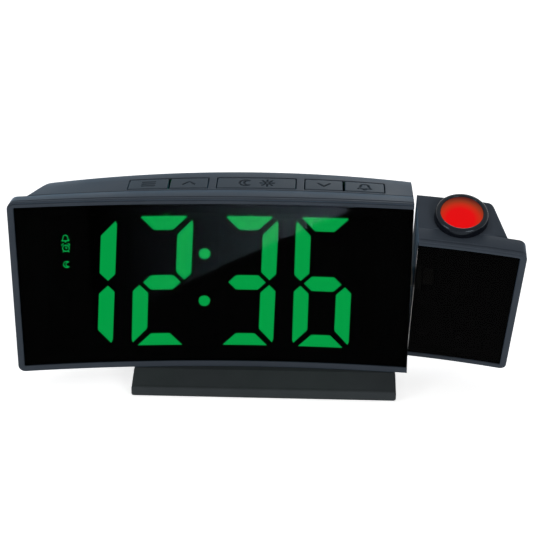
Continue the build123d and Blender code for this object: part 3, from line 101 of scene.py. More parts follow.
# depth of each profile of the crown, its height in the middle and one span away
CROWN_PROFILES = ((-10.8, -1.7, -0.2), (29.2, 4.65, 0.95))
CROWN_FALLS = ((7.5, 0.35), (18.5, 0.5))  # depths from where the top bends down, and how far
SCREW_RISE = 3.8  # case screws, from the top and bottom faces
BODY_SCREWS_X = (LEFT_X + 20.0, SPLIT_X - 5.0)
MODULE_SCREWS_X = (MODULE_X + 5.3, RIGHT_X - 20.0)
WELL_RADIUS = 2.5
BUTTON_DEPTHS = (9.0, 18.3)
BUTTON_CORNER = 0.6
BUTTON_CLEARANCE = 0.3  # beside a row of buttons
BUTTON_FRONT_GAP = 0.2
BUTTON_REAR_GAPS = (0.3, 0.7)  # behind a button: taken from it, and from the top
BUTTONS = ("mode_button", "up_button", "snooze_button", "down_button", "alarm_button")
# widths of the frames' lips, and of their ledges behind the windows
LIP, SIDE_LIP = 2.5, 2.6
LEDGE, LEFT_LEDGE, RIGHT_LEDGE, MODULE_LEDGE = 7.0, 14.0, 14.5, 10.0
LEDGE_DEPTH = 2.0
WINDOW_RECESS, WINDOW_THICKNESS = 0.4, 2.0
WINDOW_SEAT = WINDOW_RECESS + WINDOW_THICKNESS + CLEARANCE
FACET_X = 91.1  # crease on the module's top, where it falls away to the outer end
FACET_SLOPE = 0.24
FACET_SOFTNESS = 0.1  # square millimetres
TINY = 1e-9
EDGE_ROOM = 1e-3  # how near a grid line counts as lying on an edge
MERGE = 1e-6  # metres


# ---- Sizes and colours that a user may change ---------------------------------------------------
def from_srgb(red, green, blue):
    """Linear colour of three display values from 0 to 255."""
    share = np.array((red, green, blue)) / 255.0
    return tuple(np.where(share > 0.04045, ((share + 0.055) / 1.055) ** 2.4, share / 12.92))


def length(label, description, millimetres):
    """A length that a user may change."""
    return FloatProperty(
        name=label,
        description=description,
        default=millimetres / MM,
        min=0.0,
        unit="LENGTH",
        precision=5,
    )


def tint(label, description, *srgb):
    """A colour that a user may change, given as display values."""
    return FloatVectorProperty(
        name=label,
        description=description,
        default=from_srgb(*srgb),
        min=0.0,
        max=1.0,
        subtype="COLOR",
    )


class ClockSizes(bpy.types.PropertyGroup):
    """Sizes of the fine forms."""

    soft_edge: length("Soft edge", "Radius of the softened edges of openings", 0.18)
    frame_edge: length("Frame edge", "Radius of the front frames' outer front edge", 0.5)
    shell_edge: length("Shell edge", "Radius of the body shell's edges", 0.6)
    module_edge: length("Module edge", "Radius of the module shell's edges", 0.8)
    button_edge: length("Button edge", "Radius of the buttons' upper edges", 0.4)
    button_proud: length("Button height", "How far the buttons stand out of the top", 0.2)
    engraving: length("Engraving depth", "Depth of the marks on the buttons", 0.6)
    stroke: length("Engraving width", "Width of the marks on the buttons", 0.75)


class ClockColours(bpy.types.PropertyGroup):
    """Colours of the finishes."""

    case: tint("Case", "Satin plastic of the shells and frames", 57, 63, 71)
    button: tint("Buttons", "Plastic of the buttons", 56, 63, 70)
    foot: tint("Foot", "Plastic of the foot", 53, 57, 59)
    ring: tint("Focus ring", "Glossy plastic of the lens ring", 11, 13, 19)
    digits: tint("Digits", "Light of the digits, seen through the window", 2, 154, 67)
    # the lens colour is also the core colour of the lens's painted glow
    lens: tint("Lens", "Red glass of the projection lens", 229, 6, 10)
    window: tint("Window", "Smoked acrylic", 1, 1, 1)
    floor: tint("Floor", "Studio floor", 247, 247, 247)


def light_level(label, description, default, unit="NONE"):
    """A strength of light that a user may change."""
    return FloatProperty(name=label, description=description, default=default, min=0.0, unit=unit)


class ClockStudio(bpy.types.PropertyGroup):
    """Strengths of the lamps."""

    key: light_level("Key lamp", "Lamp behind, right", 4.2, "POWER")
    left: light_level("Left lamp", "Lamp in front, left", 4.6, "POWER")
    right: light_level("Right lamp", "Lamp in front, right", 4.6, "POWER")
    sky: light_level("Sky", "Strength of the even light", 0.28)
    card: light_level("Card", "Glow of the card that the window mirrors", 74.0)


# ---- Curves and surfaces ------------------------------------------------------------------------
def arc_y(x, depth):
    """Y of the arc that lies depth behind the screen's front: all arcs share one upright axis."""
    return FRONT_Y - SCREEN_RADIUS + np.sqrt((SCREEN_RADIUS + depth) ** 2 - x * x)


def depth_at(x, y):
    """Depth of a plan point: its distance from the arcs' axis, less the screen's radius."""
    return np.hypot(x, y - FRONT_Y + SCREEN_RADIUS) - SCREEN_RADIUS


def plan(x, depth):
    """Plan points on an arc, as pairs of x and y."""
    x, depth = np.broadcast_arrays(x, depth)
    return np.stack([x, arc_y(x, depth)], axis=-1)


def slant_x(depth):
    """Distance from the middle to a shell's slanted end, which leans in evenly towards the back."""
    lean = (depth - FRAME_DEPTH) * SLANT_RUN / (HOUSING_DEPTH - FRAME_DEPTH)
    return RIGHT_X - SHELL_INSET - lean


def body_top(x, depth):
    """Crowned top of the body: parabolas along X, ruled between a front and a back one, less two
    parabolas in the depth, so that it bends down behind the frame and more behind the buttons."""
    share = ((x - CROWN_X) / CROWN_SPAN) ** 2
    (depth_0, middle_0, side_0), (depth_1, middle_1, side_1) = CROWN_PROFILES
    front = middle_0 + (side_0 - middle_0) * share
    back = middle_1 + (side_1 - middle_1) * share
    crown = front + (back - front) * (depth - depth_0) / (depth_1 - depth_0)
    for start, fall in CROWN_FALLS:
        crown = crown - fall * np.clip((depth - start) / (HOUSING_DEPTH - start), 0, 1) ** 2
    return TOP_Z + crown


def module_top(x, depth):
    """Top of the module, the same at every depth: flat, with a facet that falls away beyond a
    crease. The crease is a hyperbola close to both."""
    beyond = x - FACET_X
    softened = (beyond + np.sqrt(beyond * beyond + FACET_SOFTNESS)) / 2
    return TOP_Z - FACET_SLOPE * softened


def with_z(points, z):
    """Points of X and Y at the height z."""
    return np.concatenate([points, np.broadcast_to(z, points.shape[:-1])[..., None]], axis=-1)


def with_y(points, y):
    """Points of X and Z, stood up at y."""
    y = np.broadcast_to(y, points.shape[:-1])
    return np.stack([points[..., 0], y, points[..., 1]], axis=-1)


def on_top(points, top, drop):
    """Points of X and depth laid on a top surface, and lowered by drop."""
    x, depth = points[..., 0], points[..., 1]
    return np.stack([x, arc_y(x, depth), top(x, depth) - drop], axis=-1)


def quarter(radius, steps=4):
    """Rows of a softened edge as (growth, drop): a quarter circle from the face to the wall."""
    angles = np.linspace(0, math.pi / 2, steps + 1)
    return [(radius * (1 - math.sin(a)), radius * (1 - math.cos(a))) for a in angles]


def grid_lines(stops, step):
    """Positions through all the stops, no further apart than step."""
    stops = np.unique(np.round(stops, 4))
    runs = []
    for low, high in zip(stops, stops[1:]):
        count = max(math.ceil((high - low) / step), 2)
        runs.append(np.linspace(low, high, count + 1)[:-1])
    return np.append(np.concatenate(runs), stops[-1])


def mesh_grid(us, vs):
    """Grid of pairs of two coordinates."""
    return np.stack(np.meshgrid(us, vs, indexing="ij"), axis=-1)


class Outline:
    """A rounded rectangle in a plane of two coordinates, and a rectangle that is kept free round
    it by a margin. It is a circle where both halves equal the radius."""

    def __init__(self, centre, half, radius, margin=0.0):
        self.centre = np.array(centre, float)
        self.half = np.array(half, float)
        self.radius = radius
        self.reach = self.half + margin

    def stops(self, axis):
        """Where grid lines have to lie: the free rectangle's sides and the ends of the arcs."""
        middle, reach = self.centre[axis], self.reach[axis]
        straight = max(self.half[axis] - self.radius, 0) * reach / self.half[axis]
        return [middle - reach, middle - straight, middle + straight, middle + reach]

    def inside(self, values, axis):
        """Which values lie in the free rectangle."""
        return np.abs(values - self.centre[axis]) < self.reach[axis] + EDGE_ROOM

    def fit(self, points, grow=0.0):
        """Carries the free rectangle onto the outline. The points are drawn in to its bounding
        box; what lies beyond the arcs' centres keeps its larger offset as its distance from
        there, so that squares become quarter discs. Growth stretches that distance."""
        points = (points - self.centre) * self.half / self.reach
        core = np.clip(points, self.radius - self.half, self.half - self.radius)
        away = points - core
        longest = np.abs(away).max(axis=-1, keepdims=True)
        distance = np.linalg.norm(away, axis=-1, keepdims=True)
        stretch = longest / np.maximum(distance, TINY) * (1 + grow / self.radius)
        return self.centre + core + away * stretch

    def border(self, us, vs):
        """Grid points on the free rectangle, once round and closed."""
        us, vs = us[self.inside(us, 0)], vs[self.inside(vs, 1)]
        sides = [
            mesh_grid(us[:-1], vs[:1]),
            mesh_grid(us[-1:], vs[:-1]),
            mesh_grid(us[:0:-1], vs[-1:]),
            mesh_grid(us[:1], vs[::-1]),
        ]
        return np.concatenate([side.reshape(-1, 2) for side in sides])


def opened(us, vs, place, openings):
    """Skin with openings. A ring runs from the grid round each opening, over its softened lip and
    on through its rows of (growth, drop) or (growth, drop, fixed level). It ends in the open, or
    at a floor."""
    cells = np.ones((len(us) - 1, len(vs) - 1), bool)
    patches = []
    for outline, rows, has_floor in openings:
        middle_u, middle_v = (us[:-1] + us[1:]) / 2, (vs[:-1] + vs[1:]) / 2
        cells &= ~np.outer(outline.inside(middle_u, 0), outline.inside(middle_v, 1))
        border = outline.border(us, vs)
        ring = [place(border, 0.0)]
        ring += [place(outline.fit(border, row[0]), *row[1:]) for row in rows]
        patches.append((np.array(ring), None))
        if has_floor:
            inner = mesh_grid(us[outline.inside(us, 0)], vs[outline.inside(vs, 1)])
            patches.append((place(outline.fit(inner, rows[-1][0]), *rows[-1][1:]), None))
    patches.append((place(mesh_grid(us, vs), 0.0), cells))
    return patches


def ruled(sides_u, sides_v):
    """Plan patch between two pairs of opposite sides: the two ruled surfaces are added and the
    one through the four corners is taken away."""
    (left, right), (front, back) = sides_u, sides_v
    u = np.linspace(0, 1, len(front))[:, None, None]
    v = np.linspace(0, 1, len(left))[None, :, None]
    across = (1 - u) * left + u * right
    along = (1 - v) * front[:, None] + v * back[:, None]
    left_corners = (1 - v) * left[0] + v * left[-1]
    right_corners = (1 - v) * right[0] + v * right[-1]
    return across + along - ((1 - u) * left_corners + u * right_corners)


def tilted(points):
    """Turns upright module points about the hinge axis, top towards the viewer."""
    y, z = points[..., 1] - HINGE[1], points[..., 2] - HINGE[2]
    turned_y = HINGE[1] + y * math.cos(TILT) - z * math.sin(TILT)
    turned_z = HINGE[2] + y * math.sin(TILT) + z * math.cos(TILT)
    return np.stack([points[..., 0], turned_y, turned_z], axis=-1)


def turned(profile, centre, segments=96):
    """Surface of revolution about an upright axis: a profile of (radius, z) carried round."""
    angles = np.linspace(0, 2 * math.pi, segments + 1)
    radius, z = np.array(profile).T
    x = centre[0] + radius[:, None] * np.cos(angles)
    y = centre[1] + radius[:, None] * np.sin(angles)
    return np.stack([x, y, np.broadcast_to(z[:, None], x.shape)], axis=-1)


ARC_STEPS = 5  # spans of a rounded polygon's corner


def rounded(corners, radii):
    """Polygon with an arc in each corner: points on a circle that touches both sides."""
    corners = np.array(corners, float)
    points = []
    for before, corner, after, radius in zip(
        np.roll(corners, 1, 0), corners, np.roll(corners, -1, 0), radii
    ):
        one = (before - corner) / np.linalg.norm(before - corner)
        two = (after - corner) / np.linalg.norm(after - corner)
        bisector = (one + two) / np.linalg.norm(one + two)
        half_angle = math.acos(np.clip(one @ two, -1, 1)) / 2
        centre = corner + bisector * radius / math.sin(half_angle)
        run = radius / math.tan(half_angle)
        starts, ends = (corner + side * run - centre for side in (one, two))
        turn = math.pi - 2 * half_angle
        shares = np.linspace(0, 1, ARC_STEPS + 1)[:, None]
        arc = np.sin((1 - shares) * turn) * starts + np.sin(shares * turn) * ends
        points.append(centre + arc / math.sin(turn))
    return np.concatenate(points)


# ---- Meshes and finishes ------------------------------------------------------------------------
def placed(name, data):
    """A new object of the scene, at the origin."""
    item = bpy.data.objects.new(name, data)
    bpy.context.scene.collection.objects.link(item)
    return item


def grid_quads(grid, cells=None):
    """Corner numbers of a grid's quads, of all its cells or of those that are kept."""
    rows, columns = grid.shape[:2]
    corner = np.arange(rows - 1)[:, None] * columns + np.arange(columns - 1)
    corner = corner.ravel() if cells is None else corner[cells]
    return np.stack([corner, corner + 1, corner + columns + 1, corner + columns], axis=-1)


def make_piece(
    name, patches, slot, body, replaced, polygons=(), smooth=35.0, tilt=False, wall=0.0
):
    """One closed mesh from patches of (grid of points, cells that are kept) and flat polygons.
    Grid points become quads, points that coincide are merged and all faces point outwards. An
    open skin gets a wall of that thickness behind it."""
    points, faces, start = [], [], 0
    for grid, cells in patches:
        faces += (grid_quads(grid, cells) + start).tolist()
        points.append(grid.reshape(-1, 3))
        start += grid.shape[0] * grid.shape[1]
    for polygon in polygons:
        faces.append(list(range(start, start + len(polygon))))
        points.append(polygon)
        start += len(polygon)
    points = np.concatenate(points)
    points = tilted(points) if tilt else points
    mesh = bpy.data.meshes.new(name)
    mesh.from_pydata((points / MM).tolist(), [], faces)
    build = bmesh.new()
    build.from_mesh(mesh)
    bmesh.ops.remove_doubles(build, verts=build.verts, dist=MERGE)
    bmesh.ops.dissolve_degenerate(build, edges=build.edges, dist=MERGE / 10)
    loose = [vertex for vertex in build.verts if not vertex.link_faces]
    bmesh.ops.delete(build, geom=loose, context="VERTS")
    bmesh.ops.recalc_face_normals(build, faces=build.faces)
    build.to_mesh(mesh)
    build.free()
    mesh.shade_smooth()
    mesh.set_sharp_from_angle(angle=math.radians(smooth))
    mesh.materials.append(finish_for(slot))
    piece = placed(name, mesh)
    if wall:
        thicken = piece.modifiers.new("Wall", "SOLIDIFY")
        thicken.thickness = wall / MM
        thicken.offset = -1.0
    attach(piece, body)
    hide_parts(replaced)


WINDOW_ALPHA = 0.8  # what each face of a smoked window hides
NOISE_RANGE = (0.3, 0.7)  # where most of a noise's values lie


def noise(tree, scale, stretch=None, **values):
    """Noise on the object's own coordinates, scale in cycles a metre. A stretch below 1 draws it
    out along that axis."""
    place = tree.nodes.new("ShaderNodeTexCoord").outputs["Object"]
    if stretch:
        mapping = tree.nodes.new("ShaderNodeMapping")
        mapping.inputs["Scale"].default_value = stretch
        tree.links.new(place, mapping.inputs["Vector"])
        place = mapping.outputs["Vector"]
    texture = tree.nodes.new("ShaderNodeTexNoise")
    tree.links.new(place, texture.inputs["Vector"])
    for socket, value in {"Scale": scale, **values}.items():
        texture.inputs[socket].default_value = value
    return texture.outputs["Fac"]


def coloured(tree, shader, source, low, high):
    """Base colour that runs from low to high with a noise's value."""
    ramp = tree.nodes.new("ShaderNodeValToRGB")
    for stop, position, colour in zip(ramp.color_ramp.elements, NOISE_RANGE, (low, high)):
        stop.position = position
        stop.color = (*colour, 1)
    tree.links.new(source, ramp.inputs["Fac"])
    tree.links.new(ramp.outputs["Color"], shader.inputs["Base Color"])


def roughened(tree, shader, source, low, high):
    """Roughness that runs from low to high with a noise's value."""
    node = tree.nodes.new("ShaderNodeMapRange")
    sockets = ("From Min", "From Max", "To Min", "To Max")
    for socket, value in zip(sockets, (*NOISE_RANGE, low, high)):
        node.inputs[socket].default_value = value
    tree.links.new(source, node.inputs["Value"])
    tree.links.new(node.outputs["Result"], shader.inputs["Roughness"])


def raised(tree, shader, source, height):
    """Bump of the given height in metres from a noise's value."""
    bump = tree.nodes.new("ShaderNodeBump")
    bump.inputs["Strength"].default_value = 1.0
    bump.inputs["Distance"].default_value = height
    tree.links.new(source, bump.inputs["Height"])
    tree.links.new(bump.outputs["Normal"], shader.inputs["Normal"])


def new_finish(name, **values):
    """A material whose constant values stand on its shader's own sockets."""
    material = bpy.data.materials.new(name)
    material.use_nodes = True
    shader = material.node_tree.nodes["Principled BSDF"]
    for socket, value in values.items():
        shader.inputs[socket.replace("_", " ")].default_value = value
    return material, material.node_tree, shader


PLASTIC_GLOSS = {"IOR": 1.15, "Specular_Tint": (0.72, 0.86, 1.0, 1.0)}
CASE_GLOSS = {  # with a bluish bloom at flat angles
    "IOR": 1.14,
    "Sheen_Weight": 0.2,
    "Sheen_Roughness": 0.35,
    "Sheen_Tint": (0.2, 0.6, 1.0, 1.0),
}
RING_GLOSS = {"rough": (0.14, 0.2), "height": 2e-6, "IOR": 1.32}
CLOUD_SCALE = 1 / 24  # of the grain's


def grained(name, colour, rough=(0.38, 0.5), grain=1700.0, height=2.5e-5, spread=0.07, **values):
    """Moulded or plain material: a fine grain, faint clouds of colour and patchy gloss."""
    material, tree, shader = new_finish(name, **{**PLASTIC_GLOSS, **values})
    clouds = noise(tree, scale=grain * CLOUD_SCALE, Detail=3.0)
    coloured(tree, shader, clouds, low=colour * (1 - spread), high=colour * (1 + spread))
    roughened(tree, shader, clouds, *rough)
    raised(tree, shader, noise(tree, scale=grain, Detail=4.0, Roughness=0.6), height)
    return material


def brushed(name, colour, rough=(0.25, 0.4), **values):
    """Metal with fine lines: noise that is drawn out along Z."""
    material, tree, shader = new_finish(name, Metallic=1.0, **values)
    lines = noise(tree, scale=2600.0, stretch=(1.0, 1.0, 0.1), Detail=3.0)
    coloured(tree, shader, lines, low=colour * 0.85, high=colour)
    roughened(tree, shader, lines, *rough)
    raised(tree, shader, lines, height=1e-5)
    return material


def smoked_window(name, colour):
    """Nearly opaque gloss acrylic, very slightly wavy: only strong light behind it shows."""
    material, tree, shader = new_finish(name, Alpha=WINDOW_ALPHA, IOR=1.055, Roughness=0.0)
    clouds = noise(tree, scale=40.0, Detail=2.0)
    coloured(tree, shader, clouds, low=colour * 0.8, high=colour * 1.2)
    raised(tree, shader, noise(tree, scale=12.0, Detail=1.0), height=4e-7)
    return material


def lit_diffuser(name, colour):
    """Milky diffuser lit from behind, strong enough to show its colour through both faces of the
    window."""
    through = colour / (1 - WINDOW_ALPHA) ** 2
    strength = through.max()
    material, tree, shader = new_finish(name, Roughness=0.5, Emission_Strength=strength)
    shader.inputs["Emission Color"].default_value = (*(through / strength), 1)
    milk = noise(tree, scale=700.0, Detail=2.0)
    coloured(tree, shader, milk, low=(0.01, 0.05, 0.02), high=(0.012, 0.06, 0.026))
    return material


GLOW_CENTRE = (-0.1, -0.45)  # of the lens's painted glow, in shares of its half width and half depth
GLOW_REACH = 1.45  # where the glow has gone, in the same shares
GLOW_CORE = 0.44  # share of that reach that has the lens's full colour
GLOW_FALL = ((0.64, (198, 43, 18)), (0.8, (137, 53, 25)), (0.96, (63, 30, 23)))  # the painted glow fading from orange to brown


def red_glass_painted_glow(name, colour):
    """Lens with a painted glow in its emission, as if lit by the lamp below it: the glow's colour
    depends on the distance from a place in front of its middle, and goes from red over orange to
    brown."""
    material, tree, shader = new_finish(name, Roughness=0.08, IOR=1.12, Emission_Strength=0.9)
    middle = lens_middle() / MM
    reach = np.array([1.0, math.cos(TILT)]) * LENS_RADIUS / MM * GLOW_REACH
    place = tree.nodes.new("ShaderNodeTexCoord")
    centred = tree.nodes.new("ShaderNodeMapping")
    centred.inputs["Scale"].default_value = (*(1 / reach), 0.0)
    shift = np.array(GLOW_CENTRE) / GLOW_REACH
    centred.inputs["Location"].default_value = (*(-middle[:2] / reach - shift), 0.0)
    away = tree.nodes.new("ShaderNodeVectorMath")
    away.operation = "LENGTH"
    tree.links.new(place.outputs["Object"], centred.inputs["Vector"])
    tree.links.new(centred.outputs["Vector"], away.inputs[0])
    ramp = tree.nodes.new("ShaderNodeValToRGB")
    stops = ramp.color_ramp.elements
    stops[0].position = GLOW_CORE
    stops[0].color = (*colour, 1)
    stops.remove(stops[1])
    for position, shade in GLOW_FALL:
        stops.new(position).color = (*from_srgb(*shade), 1)
    tree.links.new(away.outputs["Value"], ramp.inputs["Fac"])
    tree.links.new(ramp.outputs["Color"], shader.inputs["Emission Color"])
    clouds = noise(tree, scale=160.0, Detail=2.0)
    coloured(tree, shader, clouds, low=colour * 0.1, high=colour * 0.14)
    return material


def finishes():
    """Maker, colour and values of the finish of each material slot."""
    colours = bpy.context.scene.clock_colours
    return {
        "case_plastic": (grained, colours.case, CASE_GLOSS),
        "button_plastic": (grained, colours.button, {**CASE_GLOSS, "rough": (0.4, 0.52)}),
        "foot_plastic": (grained, colours.foot, {"rough": (0.4, 0.55)}),
        "ring_plastic": (grained, colours.ring, RING_GLOSS),
        "window_acrylic": (smoked_window, colours.window, {}),
        "red_lens": (red_glass_painted_glow, colours.lens, {}),
        "lit_diffuser": (lit_diffuser, colours.digits, {}),
        "unlit_diffuser": (grained, from_srgb(30, 32, 32), {}),
        "reflector_plastic": (grained, from_srgb(14, 14, 15), {}),
        "circuit_board": (grained, from_srgb(15, 19, 18), {"rough": (0.3, 0.4), "grain": 900.0}),
        "black_component": (grained, from_srgb(26, 26, 28), {"rough": (0.4, 0.6)}),
        "white_component": (grained, from_srgb(214, 212, 204), {"rough": (0.35, 0.5)}),
        "acetal": (grained, from_srgb(222, 220, 212), {"rough": (0.3, 0.4)}),
        "friction_rubber": (grained, from_srgb(32, 32, 32), {"rough": (0.7, 0.85)}),
        "foot_rubber": (grained, from_srgb(30, 30, 31), {"rough": (0.75, 0.9), "grain": 900.0}),
        "wire_jacket": (grained, from_srgb(46, 46, 50), {"rough": (0.45, 0.55)}),
        "clear_lens": (grained, from_srgb(224, 232, 236), {"rough": (0.03, 0.06), "height": 1e-7}),
        "lcd_glass": (grained, from_srgb(40, 42, 50), {"rough": (0.05, 0.1), "height": 1e-7}),
        "lamp_epoxy": (grained, from_srgb(226, 60, 52), {"rough": (0.1, 0.16), "height": 1e-6}),
        "zinc_steel": (brushed, from_srgb(176, 176, 172), {}),
        "cell_steel": (brushed, from_srgb(196, 196, 192), {"rough": (0.18, 0.3)}),
        "nickel": (brushed, from_srgb(190, 184, 170), {}),
    }


def finish_for(slot):
    """The finish of a slot, made once."""
    name = "finish_" + slot
    if name not in bpy.data.materials:
        make, colour, values = finishes()[slot]
        make(name, np.array(colour), **values)
    return bpy.data.materials[name]


# ---- Shells -------------------------------------------------------------------------------------
END_COUNT = 18  # points of a shell's end along its back and along its front
ARC_COUNT = 6  # points of half its rounded corner
END_START = 87.2  # distance from the middle where the end's own grid begins
STEP_X, STEP_Z, STEP_DEPTH = 1.3, 1.6, 1.5  # widest cells of the shells' grids
FRONT_BAND = 1.0  # width of the grid's first band behind the frame
LINE_ROOM = 0.02  # least room between the wall's highest grid line and its rounded edge
SHELL_WALL = 1.2
# between an opening and the rectangle of grid lines round it
WELL_MARGIN, HOLE_MARGIN, SLOT_MARGIN, ROW_MARGIN = 0.35, 0.6, 0.5, 0.55
HIGH_LINE = TOP_Z - SCREW_RISE + WELL_RADIUS + WELL_MARGIN
BOSS_FLOOR = 4.0
SCREWS_Z = (BOTTOM_Z + SCREW_RISE, TOP_Z - SCREW_RISE)
CELL_PLACE = (14.0, 47.0)
CUP_RADIUS = 12.15
CELL_POCKET_RADIUS = 10.5
SOCKET_Z = 27.0
POWER_X, CHARGING_X = -40.0, -16.0
POWER_RADIUS = 4.0
CHARGING_HALF, CHARGING_CORNER = (6.8, 3.05), 0.4
BUZZER_X, BUZZER_Z = -66.0, 52.0
SLOT_RISES = (-5.6, -2.8, 0.0, 2.8, 5.6)  # of the sound slots, from the buzzer's middle
SLOT_HALF = (6.0, 0.65)
BUTTON_ROWS = (  # first and last button in each opening of the top
    ("mode_button", "up_button"),
    ("snooze_button", "snooze_button"),
    ("down_button", "alarm_button"),
)


def round_outline(centre, radius, margin=0.0):
    """A circle as an outline."""
    return Outline(centre, (radius, radius), radius, margin)


def stops_of(openings, axis, *others):
    """Where grid lines have to lie along an axis: at the openings' stops and at the others."""
    stops = [outline.stops(axis) for outline, _, _ in openings]
    return np.concatenate([*stops, np.array(others, float)])


class ShellForm:
    """Outer form of one rear shell: which way it runs from its flat end, its top surface, the
    radius of its edges and the places of its grid lines."""

    def __init__(self, side, flat_x, top, edge, openings):
        self.side, self.flat_x, self.top, self.edge = side, flat_x, top, edge
        stops_x = stops_of(openings["back"] + openings["top"], 0, side * END_START, flat_x)
        stops_z = stops_of(openings["back"], 1, BOTTOM_Z + edge, HIGH_LINE)
        ends = (SHELL_FRONT, SHELL_FRONT + FRONT_BAND, HOUSING_DEPTH - edge)
        self.xs = grid_lines(stops_x, STEP_X)
        self.zs = grid_lines(stops_z, STEP_Z)
        self.depths = grid_lines(stops_of(openings["top"], 1, *ends), STEP_DEPTH)


def end_path(side, inset, count):
    """Plan of a shell's outer end, moved in by inset, in two stretches that meet in the middle of
    the rounded corner. The corner's centre lies one radius inside both the back arc and the
    slanted line; each stretch is half of its circle and a run along one of the two."""
    corner = plan(side * slant_x(HOUSING_DEPTH), HOUSING_DEPTH)
    front = plan(side * slant_x(FRAME_DEPTH), FRAME_DEPTH)
    axis = np.array([0.0, FRONT_Y - SCREEN_RADIUS])
    outward = (corner - axis) / np.linalg.norm(corner - axis)
    along_back = -side * np.array([outward[1], -outward[0]])
    along_end = (front - corner) / np.linalg.norm(front - corner)
    spread = abs(along_back[0] * along_end[1] - along_back[1] * along_end[0])
    centre = corner + (along_back + along_end) * BACK_CORNER / spread
    end_outward = -side * np.array([along_end[1], -along_end[0]])
    angles = np.unwrap([math.atan2(way[1], way[0]) for way in (outward, end_outward)])
    sweep = np.linspace(angles[0], angles[1], 2 * ARC_COUNT - 1)
    arc = centre + (BACK_CORNER - inset) * np.stack([np.cos(sweep), np.sin(sweep)], axis=-1)
    run_x = np.linspace(side * END_START, arc[0, 0], END_COUNT - ARC_COUNT + 1)[:-1]
    back = np.concatenate([plan(run_x, HOUSING_DEPTH - inset), arc[:ARC_COUNT]])
    from_axis = arc[-1] - axis
    ahead = from_axis @ along_end
    front_radius = SCREEN_RADIUS + SHELL_FRONT
    reach = -ahead - math.sqrt(ahead**2 - from_axis @ from_axis + front_radius**2)
    shares = np.linspace(0, 1, count - ARC_COUNT + 1)[1:, None]
    flank = np.concatenate([arc[ARC_COUNT - 1 :], arc[-1] + shares * reach * along_end])
    return back, flank


def shell_patches(form, openings):
    """Outer skin of a shell, open in front. Its wall is upright rows that run along the plan and
    are rounded into both caps. Caps and wall are grids of fixed places with openings, and the
    slanted end is ruled. The flat end is a grid with two fans in its rounded corners."""
    side, edge, xs, zs, depths = form.side, form.edge, form.xs, form.zs, form.depths
    outward = xs[::side]
    count = len(depths)

    def top_at(points):
        return form.top(points[..., 0], depth_at(points[..., 0], points[..., 1]))

    def path(inset):
        back, flank = end_path(side, inset, count)
        return np.concatenate([plan(outward, HOUSING_DEPTH - inset), back[1:], flank[1:]])

    # wall
    rows = [with_z(path(grow), BOTTOM_Z + drop) for grow, drop in quarter(edge)]
    steps = len(rows)
    level = path(0.0)
    highest = top_at(level) - edge - LINE_ROOM
    squash = np.minimum((highest - zs[0]) / (zs[-1] - zs[0]), 1.0)
    rows += [with_z(level, zs[0] + (z - zs[0]) * squash) for z in zs[1:]]
    for grow, drop in quarter(edge)[::-1]:
        level = path(grow)
        rows.append(with_z(level, top_at(level) - drop))
    wall = np.array(rows)
    cells = np.ones((wall.shape[0] - 1, wall.shape[1] - 1), bool)
    cells[steps - 1 : steps + len(zs) - 2, : len(xs) - 1] = False
    patches = [(wall, cells)]

    # caps
    back, flank = end_path(side, edge, count)
    front = plan(np.linspace(side * END_START, flank[-1, 0], END_COUNT), SHELL_FRONT)
    end = ruled((plan(side * END_START, depths), flank[::-1]), (front, back))
    patches.append((with_z(end, BOTTOM_Z), None))
    patches.append((with_z(end, top_at(end)), None))
    grid = mesh_grid(xs, depths)
    patches.append((with_z(plan(grid[..., 0], grid[..., 1]), BOTTOM_Z), None))

    # flat end
    column = np.concatenate([[BOTTOM_Z], zs])
    flat = mesh_grid(depths, column)
    last = plan(form.flat_x, depths)
    upper = [with_z(last, top_at(last) - edge)[:, None], with_z(last, top_at(last))[:, None]]
    points = with_z(plan(form.flat_x, flat[..., 0]), flat[..., 1])
    points = np.concatenate([points, *upper], axis=1)
    patches.append((points, None))
    patches.append((np.array([points[-1, 1:-1], wall[steps - 1 : steps + len(zs), 0]]), None))
    for pivot, arc in ((points[-1, 1], wall[:steps, 0]), (points[-1, -2], wall[-steps:, 0])):
        patches.append((np.array([np.broadcast_to(pivot, arc.shape), arc]), None))

    # the parts that openings go through
    def place_back(points, drop, level=None):
        y = arc_y(points[..., 0], HOUSING_DEPTH - drop) if level is None else level
        return with_y(points, y)

    def place_top(points, drop):
        return on_top(points, form.top, drop)

    patches += opened(xs, zs, place_back, openings["back"])
    patches += opened(xs, depths, place_top, openings["top"])
    return patches


def through(outline, softness):
    """An opening through the wall."""
    return outline, quarter(softness) + [(0.0, SHELL_WALL)], False


def well(outline, softness, *rows):
    """A closed recess: rows of (growth, level) after its softened lip."""
    return outline, quarter(softness) + [(grow, 0.0, level) for grow, level in rows], True


def screw_wells(places, softness):
    """Counterbores of the case screws: each ends flat, a boss floor behind the frame."""
    wells = []
    for x, z in places:
        outline = round_outline((x, z), WELL_RADIUS, WELL_MARGIN)
        wells.append(well(outline, softness, (0.0, arc_y(x, SHELL_FRONT) + BOSS_FLOOR)))
    return wells


